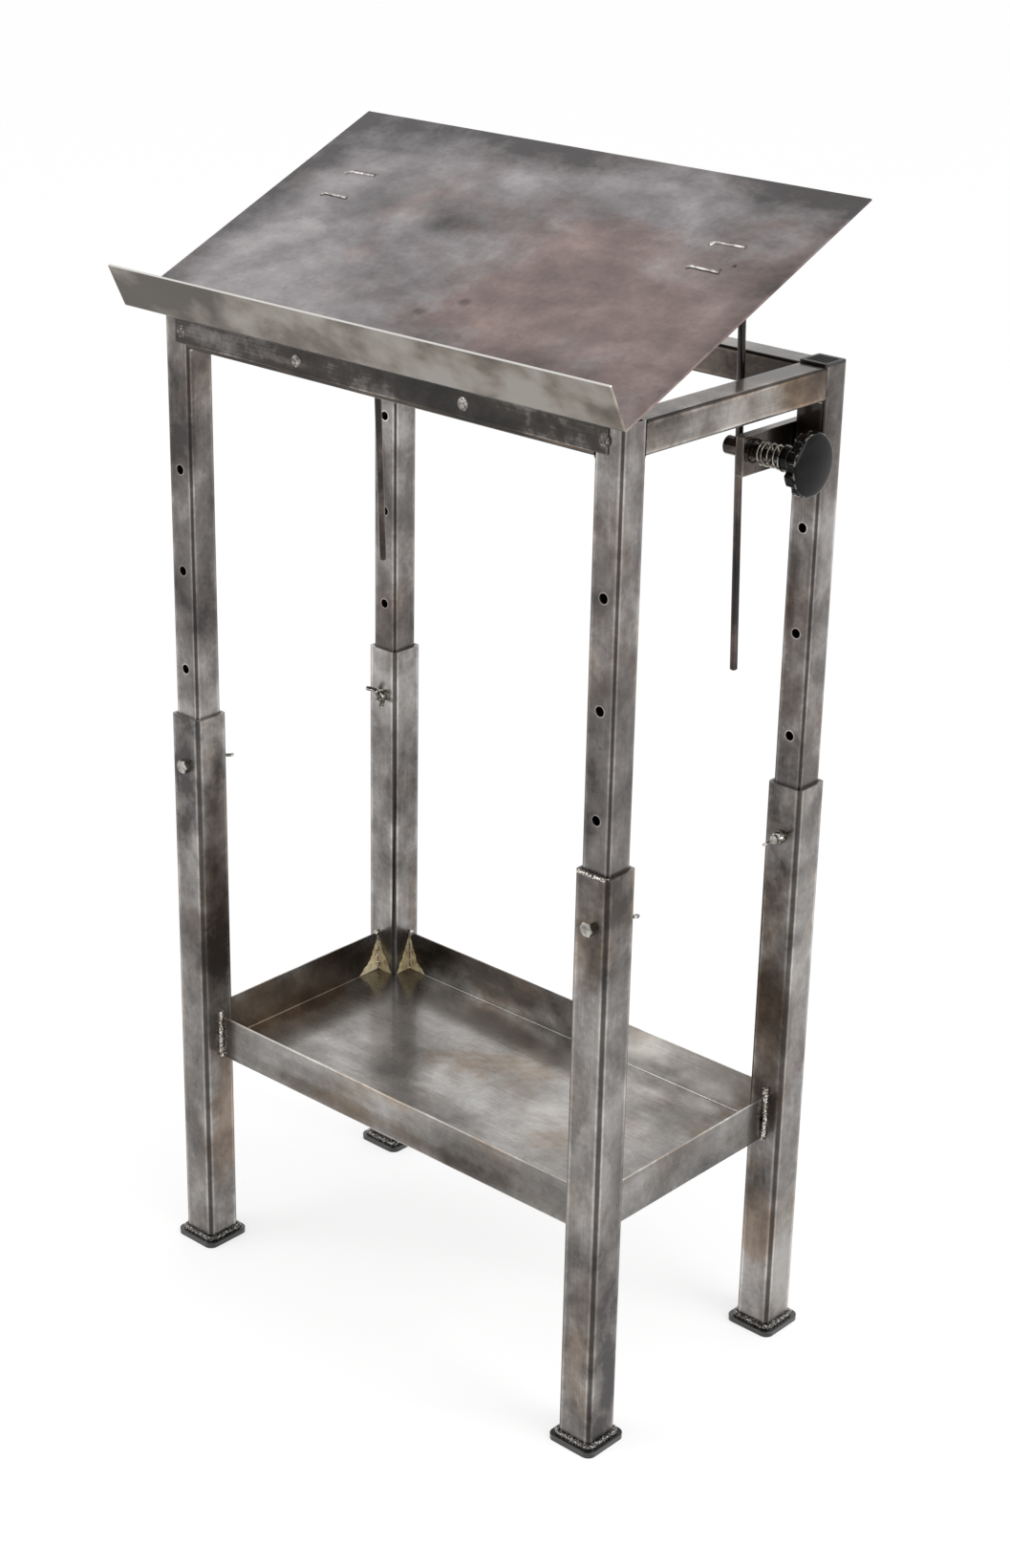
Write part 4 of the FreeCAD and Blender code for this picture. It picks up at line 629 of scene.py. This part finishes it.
# The cut edges at the back and the sides get painted highlights. The front is left to the lip.
level = Matrix.Rotation(-SLOPE, 3, "X")
level_desk = [level @ (v.co * 1000 - HINGE) for v in nodes["desk_top"].data.vertices]
left, right, back = min(p.x for p in level_desk), max(p.x for p in level_desk), max(p.y for p in level_desk)
painted_edge_highlights(desk_steel, ((left + right) / 2, 0, 0), ((right - left) / 2, back, 0), 1.2, 1.7)
put_on(desk_steel, ["desk_top"])


def desk_point(x, a, up):
    """The place of a point that is given across the desk, up its slope and above the hinge plane."""
    y = a * math.cos(SLOPE) - up * math.sin(SLOPE)
    z = a * math.sin(SLOPE) + up * math.cos(SLOPE)
    return HINGE - MIDDLE + Vector((x, y, z))


# The welds of the two brackets below print through as low ridges, ground bright on top with a
# painted highlight, and a thin dark bead along the foot of each as painted shadow.
prints = [[(209, 272), (211, 276.5), (216, 278), (248, 278.5)], [(211, 232.5), (214, 235.5), (249, 234)],
          [(-291, 271.5), (-288, 276), (-283, 277.5), (-251, 278)], [(-288, 231), (-284, 234), (-252, 233)]]
ridge_highlight_steel = mottled("Ground steel ridge, lacquered", 8, [(0.4, "#8d8684"), (0.6, "#c3bdba")], (0.4, 0.26),
                      0.2, 0.5, metal=1.0, coat=(0.5, 0.1))
ridge_foot_shadow = mottled("Painted shadow along a ridge's foot", 5, [(0.4, "#262120"), (0.65, "#4d4644")], (0.6, 0.4), 0.3,
                      0.5, metal=0.6)
lay_beads("bracket_prints", [[desk_point(x, a, 4.6) for x, a in run] for run in prints], 1.9, 0.8, 6.0,
          ridge_highlight_steel, 5.0, body="desk")
# The dark beads along the ridges' feet are painted shadow.
shadow_runs = [[desk_point(x, a + (2.6 if run[0][1] > 250 else -2.4), 4.5) for x, a in run] for run in prints]
lay_beads("bracket_print_shadow", shadow_runs, 0.9, 0.9, 7.0, ridge_foot_shadow, 6.0, body="desk")

# ------------------------------------------------------------
# Rods and clamps. Brackets of 3 mm plate, bent rods of 8 mm round bar, clamp plates and barrels
# are left dark brown from the mill, under the same lacquer. The plates' edges carry painted highlights.

dark_steel = lacquered_steel("Mill-brown steel bar, lacquered", ("#181311", "#2d2623", "#655a54"),
                             "#c8a48a", "z", browned=0.8, rough=0.26, seed=69.0)
# A darker copy for the clamp plates, with painted highlights along their edges.
plate_steel = dark_steel.copy()
plate_steel.name = "Mill-brown steel plate, lacquered, edges highlighted"
tint(plate_steel, 0.72)
low, high = [point * 1000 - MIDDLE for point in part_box("clamp_plate_right")]
painted_edge_highlights(plate_steel, (low + high) / 2, (high - low) / 2, 1.2, 3.4, mirrored=True)
put_on(plate_steel, ["clamp_plate_"], SIDES)
put_on(dark_steel, ["rod_bracket_", "stay_rod_", "clamp_barrel_"], SIDES)

# ------------------------------------------------------------
# Bolts, washers and cotter pins. Stock hardware, bright zinc plated, with a faint yellow cast.
# The clamp studs are plain threaded rod, oiled black.

zinc = mottled("Bright zinc plate on steel", 9, [(0.35, "#716f68"), (0.5, "#9d9b94"), (0.66, "#c9c7bf")],
               (0.3, 0.14), 0.1, 0.4, metal=1.0)
black_stud = mottled("Oiled threaded rod", 2, [(0.35, "#141211"), (0.65, "#3a3532")], (0.4, 0.2), 0.4, 0.5,
                     metal=0.8)
put_on(zinc, ["rod_washer_", "cotter_pin_", "spring_washer_"], SIDES)
put_on(zinc, ["leg_bolt_"], CORNERS)
put_on(black_stud, ["clamp_stud_"], SIDES)

# ------------------------------------------------------------
# Wing nuts. Forged steel, zinc plated: a tapered hub with two thin ears whose edges are rounded.

EAR_THICK = 2.8
EAR = [(4.5, 1.3), (7.4, 0.9), (10.2, 3.2), (13.6, 6.9), (15.8, 10.2), (16.4, 12.4), (16.0, 14.4),
       (14.7, 15.4), (12.9, 15.2), (11.4, 13.6), (9.6, 10.8), (7.4, 8.3), (4.5, 7.6)]
HUB = [(0.05, 0, 0), (0.05, 7.1, 0), (0.5, 7.45, 0), (3.5, 7.2, 0), (7.4, 6.3, 0), (8.2, 5.9, 0),
       (8.45, 5.2, 0), (8.45, 0, 0)]
TURNS = {"front_left": -4, "front_right": 6, "rear_left": 38, "rear_right": -38}
nut_zinc = mottled("Zinc plate on forged steel", 4, [(0.38, "#33312d"), (0.5, "#83817a"), (0.6, "#e2e0d8")],
                   (0.28, 0.1), 0.3, 0.6, metal=1.0)
for corner, (side_x, side_y) in CORNERS.items():
    low, high = [point * 1000 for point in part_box("wing_nut_" + corner)]
    base = low.y if side_y < 0 else high.y
    nut = turned(HUB, Matrix.Rotation(math.radians(90), 4, "Z"), 32)
    for side in (-1, 1):
        rim = [nut.verts.new((side * reach, up, -EAR_THICK / 2)) for reach, up in EAR]
        pulled = bmesh.ops.extrude_face_region(nut, geom=[nut.faces.new(rim)])["geom"]
        far = [item for item in pulled if isinstance(item, bmesh.types.BMVert)]
        bmesh.ops.translate(nut, vec=(0, 0, EAR_THICK), verts=far)
        edges = {edge for vert in rim + far for edge in vert.link_edges}
        bmesh.ops.bevel(nut, geom=list(edges), offset=0.7, offset_type="OFFSET", segments=2, profile=0.5,
                        affect="EDGES", clamp_overlap=True)
    turn = Matrix.Rotation(math.radians(TURNS[corner]), 4, "Y")
    place = Matrix.Translation(((low.x + high.x) / 2, base, (low.z + high.z) / 2))
    place = place @ turn @ Matrix.Diagonal((1, -side_y, 1, 1))
    bmesh.ops.transform(nut, matrix=place, verts=nut.verts)
    bmesh.ops.recalc_face_normals(nut, faces=nut.faces)
    made = finish_piece("nut_" + corner, nut, nut_zinc, "wing_nut_" + corner)
    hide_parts("wing_nut_" + corner)

# ------------------------------------------------------------
# Clamp springs. Drawn spring wire of 2 mm, bright, with a thin oil film.

wire = mottled("Drawn spring wire", 5, [(0.35, "#5d5852"), (0.6, "#b5afa6")], (0.34, 0.14), 0.1, 0.3,
               metal=1.0)
put_on(wire, ["clamp_spring_"], SIDES)

# ------------------------------------------------------------
# Clamp knobs. Black phenolic, moulded and polished, 65 mm over eight lobes, with a low domed face
# that runs out to a round edge. The eye gets a deep black with sharp highlights on every lobe.

phenolic = mottled("Black phenolic, moulded and polished", 11, [(0.4, "#070606"), (0.7, "#12100f")],
                   (0.1, 0.24), 0.1, 0.8, specular=0.13)
KNOB_RADIUS, FLUTE_RADIUS, FLUTE_MIDDLE = 32.5, 8.5, 36.8


def lobes(angle):
    """The knob's reach at an angle, as a share of its radius."""
    away = (angle - math.pi / 2 + math.pi / 8) % (math.pi / 4) - math.pi / 8
    inside = FLUTE_RADIUS ** 2 - (FLUTE_MIDDLE * math.sin(away)) ** 2
    if inside <= 0:
        return 1.0
    cut = (FLUTE_MIDDLE * math.cos(away) - math.sqrt(inside)) / KNOB_RADIUS
    sharp = 60.0                                  # rounds the edges of a flute, like the mould
    return -math.log(math.exp(-sharp * cut) + math.exp(-sharp)) / sharp


# The edges of the flutes and of the face carry a painted highlight, pale grey in short broken lines.
low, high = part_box("clamp_knob_right")
tree = phenolic.node_tree
here = add(tree, "TexCoord").outputs["Object"]
away = add(tree, "VectorMath", {0: here, 1: (0, (low.y + high.y) / 2, (low.z + high.z) / 2)},
           operation="SUBTRACT")
away = add(tree, "VectorMath", {0: away, 1: (0, 1, 1)}, operation="MULTIPLY")
away = add(tree, "VectorMath", {0: away}, operation="LENGTH").outputs[1]
away = add(tree, "Math", {0: away, 1: (KNOB_RADIUS - 2.0) / 1000}, operation="SUBTRACT")
away = add(tree, "Math", {0: away, 1: 500.0}, operation="MULTIPLY")  # in steps of 2 mm
edge = add(tree, "ValToRGB", {0: away}, stops=[(0.25, 0.0), (0.5, 1.0), (0.75, 1.0), (0.88, 0.0)])
gap = add(tree, "TexNoise", {"Vector": here, "Scale": 160, "Detail": 2})
gap = add(tree, "MapRange", {"Value": gap, "From Min": 0.44, "From Max": 0.56})
edge = add(tree, "Math", {0: edge, 1: gap}, operation="MULTIPLY")
tint(phenolic, edge, "#8b8885")

# Its rings: how far along the axis, how wide, and how much of the flutes shows in each.
rim = KNOB_RADIUS
knob_rings = [(0.2, 0, 0), (0.2, 11.6, 0), (0.9, 12.4, 0), (4, 12.5, 0), (9, 12.6, 0), (13, 13.2, 0),
              (16, 14.8, 0), (18.2, 17.6, 0), (19.4, 21, 0), (19.8, 24, 0), (19.9, 26, 0.3),
              (20.0, rim - 2.4, 1), (20.4, rim - 1.1, 1), (21.2, rim - 0.3, 1), (22.4, rim, 1),
              (26, rim, 1), (29.5, rim, 1), (30.4, rim - 0.05, 0.9), (30.9, rim - 0.1, 0.5),
              (31.3, rim - 0.2, 0.25), (32.2, rim - 0.5, 0.15), (33.1, rim - 1.2, 0.1),
              (33.9, rim - 2.4, 0.05), (34.5, rim - 4.4, 0), (35.2, rim - 8.0, 0), (35.9, 20, 0),
              (36.6, 14, 0), (37.1, 8, 0), (37.4, 0, 0)]
for side, way in zip(SIDES, (-1, 1)):
    low, high = [point * 1000 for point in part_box("clamp_knob_" + side)]
    start = low.x if way > 0 else high.x
    place = Matrix.Translation((start, (low.y + high.y) / 2, (low.z + high.z) / 2))
    place = place @ Matrix.Diagonal((way, 1, 1, 1))
    shape = turned(knob_rings, place, 192, lobes)
    knob = finish_piece("knob_" + side, shape, phenolic, "knob_" + side)
    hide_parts("clamp_knob_" + side)

# ------------------------------------------------------------
# Leg caps. Black polyethylene, pushed into the rear legs, with low ribs moulded across the top.

RIB_PITCH, RIB_INSET = 4.6, 5
cap_plastic = mottled("Black polyethylene, moulded", 1.5, [(0.4, "#141313"), (0.7, "#262423")], (0.5, 0.36),
                      0.4, 0.4)
put_on(cap_plastic, ["leg_cap_rear_"], SIDES)
for side in SIDES:
    low, high = [point * 1000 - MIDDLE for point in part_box("leg_cap_rear_" + side)]
    ribs = []
    for i in range(5):
        y = low.y + TUBE_HALF + (i - 2) * RIB_PITCH
        ribs.append([(x, y, high.z - 0.1) for x in (low.x + RIB_INSET, high.x - RIB_INSET)])
    lay_beads("cap_ribs_" + side, ribs, 0.8, 0.05, 4.0, cap_plastic)

# ------------------------------------------------------------
# Old paint. Cream enamel from before the grinding is left in the tray's corner at the rear left
# leg, in two tapering patches either side of each crease, and by the rear right leg.

old_paint = mottled("Cream enamel, old and worn", 9,
                    [(0.33, "#7d6c50"), (0.43, "#c6b288"), (0.52, "#e4d4aa"), (0.7, "#f2e9cd")], (0.5, 0.3),
                    0.25, 0.8, coat=(0.3, 0.15))


def paint_patch(shape, corners, normal, seed):
    """A thin patch whose edge wanders. Its corners are given from the legs, in order."""
    chance = random.Random(seed)
    normal = Vector(normal)
    corners = [MIDDLE + Vector(corner) for corner in corners]
    edge = []
    for i, corner in enumerate(corners):
        start, end = corner, corners[(i + 1) % len(corners)]
        steps = max(2, int((end - start).length / 2.5))
        across = normal.cross(end - start).normalized()
        for step in range(steps):
            wander = across * chance.uniform(-0.8, 0.8) if step else Vector()
            edge.append(start + (end - start) * (step / steps) + wander)
    top = [shape.verts.new(point + normal * 0.25) for point in edge]
    under = [shape.verts.new(point - normal * 0.15) for point in edge]
    upper = shape.faces.new(top)
    lower = shape.faces.new(under[::-1])
    for i in range(len(edge)):
        shape.faces.new((top[i - 1], top[i], under[i], under[i - 1])[::-1])
    bmesh.ops.triangulate(shape, faces=[upper, lower])


FLOOR_TOP = TRAY_LOW + TRAY_SHEET + 0.5
rim_left, rim_rear = TRAY_LEFT + TRAY_SHEET, TRAY_REAR - TRAY_SHEET
patches = bmesh.new()
paint_patch(patches, [(rim_left, REAR_LEGS - 34, FLOOR_TOP), (rim_left, REAR_LEGS, FLOOR_TOP),
                      (rim_left, REAR_LEGS, TRAY_TOP - 3), (rim_left, REAR_LEGS - 5, TRAY_TOP - 14),
                      (rim_left, REAR_LEGS - 15, TRAY_TOP - 34)], (1, 0, 0), 1)
paint_patch(patches, [(rim_left, REAR_LEGS, TRAY_TOP - 3), (rim_left, REAR_LEGS, FLOOR_TOP),
                      (rim_left + 22, REAR_LEGS, FLOOR_TOP), (rim_left + 6, REAR_LEGS, TRAY_TOP - 22)],
            (0, -1, 0), 2)
paint_patch(patches, [(LEFT_LEGS, rim_rear - 22, FLOOR_TOP), (LEFT_LEGS, rim_rear, FLOOR_TOP),
                      (LEFT_LEGS, rim_rear, TRAY_TOP - 2), (LEFT_LEGS, rim_rear - 6, TRAY_TOP - 18)],
            (1, 0, 0), 3)
paint_patch(patches, [(LEFT_LEGS, rim_rear, TRAY_TOP - 2), (LEFT_LEGS, rim_rear, FLOOR_TOP),
                      (LEFT_LEGS + 27, rim_rear, FLOOR_TOP), (LEFT_LEGS + 13, rim_rear, TRAY_TOP - 36),
                      (LEFT_LEGS + 5, rim_rear, TRAY_TOP - 15)], (0, -1, 0), 4)
paint_patch(patches, [(236, rim_rear, FLOOR_TOP + 1), (RIGHT_LEGS, rim_rear, FLOOR_TOP + 1),
                      (RIGHT_LEGS, rim_rear, FLOOR_TOP + 12), (262, rim_rear, FLOOR_TOP + 7)],
            (0, -1, 0), 5)
bmesh.ops.recalc_face_normals(patches, faces=patches.faces)
finish_piece("old_paint_patches", patches, old_paint, "root", smooth=False)

# ------------------------------------------------------------
# The studio: a pale floor that runs off into white, a large soft lamp to the right, a smaller
# one to the left, and the camera where the photograph was taken from.

def seen_by_camera(tree):
    """One for what the camera sees, straight or mirrored, and nought for the light on the desk."""
    rays = add(tree, "LightPath").outputs
    seen = add(tree, "Math", {0: rays["Is Camera Ray"], 1: rays["Is Glossy Ray"]}, operation="MAXIMUM")
    return add(tree, "Math", {0: seen, 1: rays["Is Transmission Ray"]}, operation="MAXIMUM")


floor_mesh = bpy.data.meshes.new("studio_floor")
floor_mesh.from_pydata([(-40, -40, 0), (40, -40, 0), (40, 40, 0), (-40, 40, 0)], [], [(0, 1, 2, 3)])
floor = bpy.data.objects.new("studio_floor", floor_mesh)
scene.collection.objects.link(floor)
floor_paint = bpy.data.materials.new("White studio floor")
tree = cleared(floor_paint)
lit = add(tree, "BsdfDiffuse", {"Color": (0.5, 0.5, 0.5, 1)})
glow = add(tree, "Math", {0: seen_by_camera(tree), 1: 0.64}, operation="MULTIPLY")
glow = add(tree, "Emission", {"Strength": glow})
both = add(tree, "AddShader", {0: lit, 1: glow})
add(tree, "OutputMaterial", {"Surface": both})
floor_mesh.materials.append(floor_paint)

world = bpy.data.worlds.new("Studio")
scene.world = world
tree = cleared(world)
shown = add(tree, "MapRange", {"Value": seen_by_camera(tree), "To Min": 0.7, "To Max": 1.0})
sky = add(tree, "Background", {"Color": (1, 1, 1, 1), "Strength": shown})
add(tree, "OutputWorld", {"Surface": sky})

for label, spot, aim, size, power in (("soft_lamp_right", (2.6, 0.4, 1.6), (0, 0, 0.6), 1.6, 30),
                                      ("soft_lamp_left", (-1.9, -2.4, 2.6), (0, 0, 0.7), 1.8, 24)):
    lamp = bpy.data.lights.new(label, "AREA")
    lamp.shape = "SQUARE"
    lamp.size = size
    lamp.energy = power
    held = bpy.data.objects.new(label, lamp)
    held.location = spot
    held.rotation_euler = (Vector(aim) - Vector(spot)).to_track_quat("-Z", "Y").to_euler()
    scene.collection.objects.link(held)

scene.view_settings.view_transform = "Standard"
# The camera fitted to the photograph: its place, its direction and its lens.
CAMERA_PLACE = Vector((1.853192, -2.030149, 1.779877))
AZIMUTH, ELEVATION, ROLL = math.radians(41.8011), math.radians(22.8553), math.radians(1.1131)
FOCAL_PIXELS, LONG_SIDE_PIXELS, SENSOR = 2897.139, 1641, 36.0
forward = -Vector((math.sin(AZIMUTH) * math.cos(ELEVATION), -math.cos(AZIMUTH) * math.cos(ELEVATION),
                   math.sin(ELEVATION)))
right = forward.cross(Vector((0, 0, 1))).normalized()
upward = right.cross(forward)
axes = (right * math.cos(ROLL) + upward * math.sin(ROLL), upward * math.cos(ROLL) - right * math.sin(ROLL),
        -forward)
camera = bpy.data.cameras.new("Camera")
camera.sensor_width = SENSOR
camera.lens = SENSOR * FOCAL_PIXELS / LONG_SIDE_PIXELS
held = bpy.data.objects.new("Camera", camera)
held.matrix_world = Matrix.Translation(CAMERA_PLACE) @ Matrix(axes).transposed().to_4x4()
scene.collection.objects.link(held)
scene.camera = held
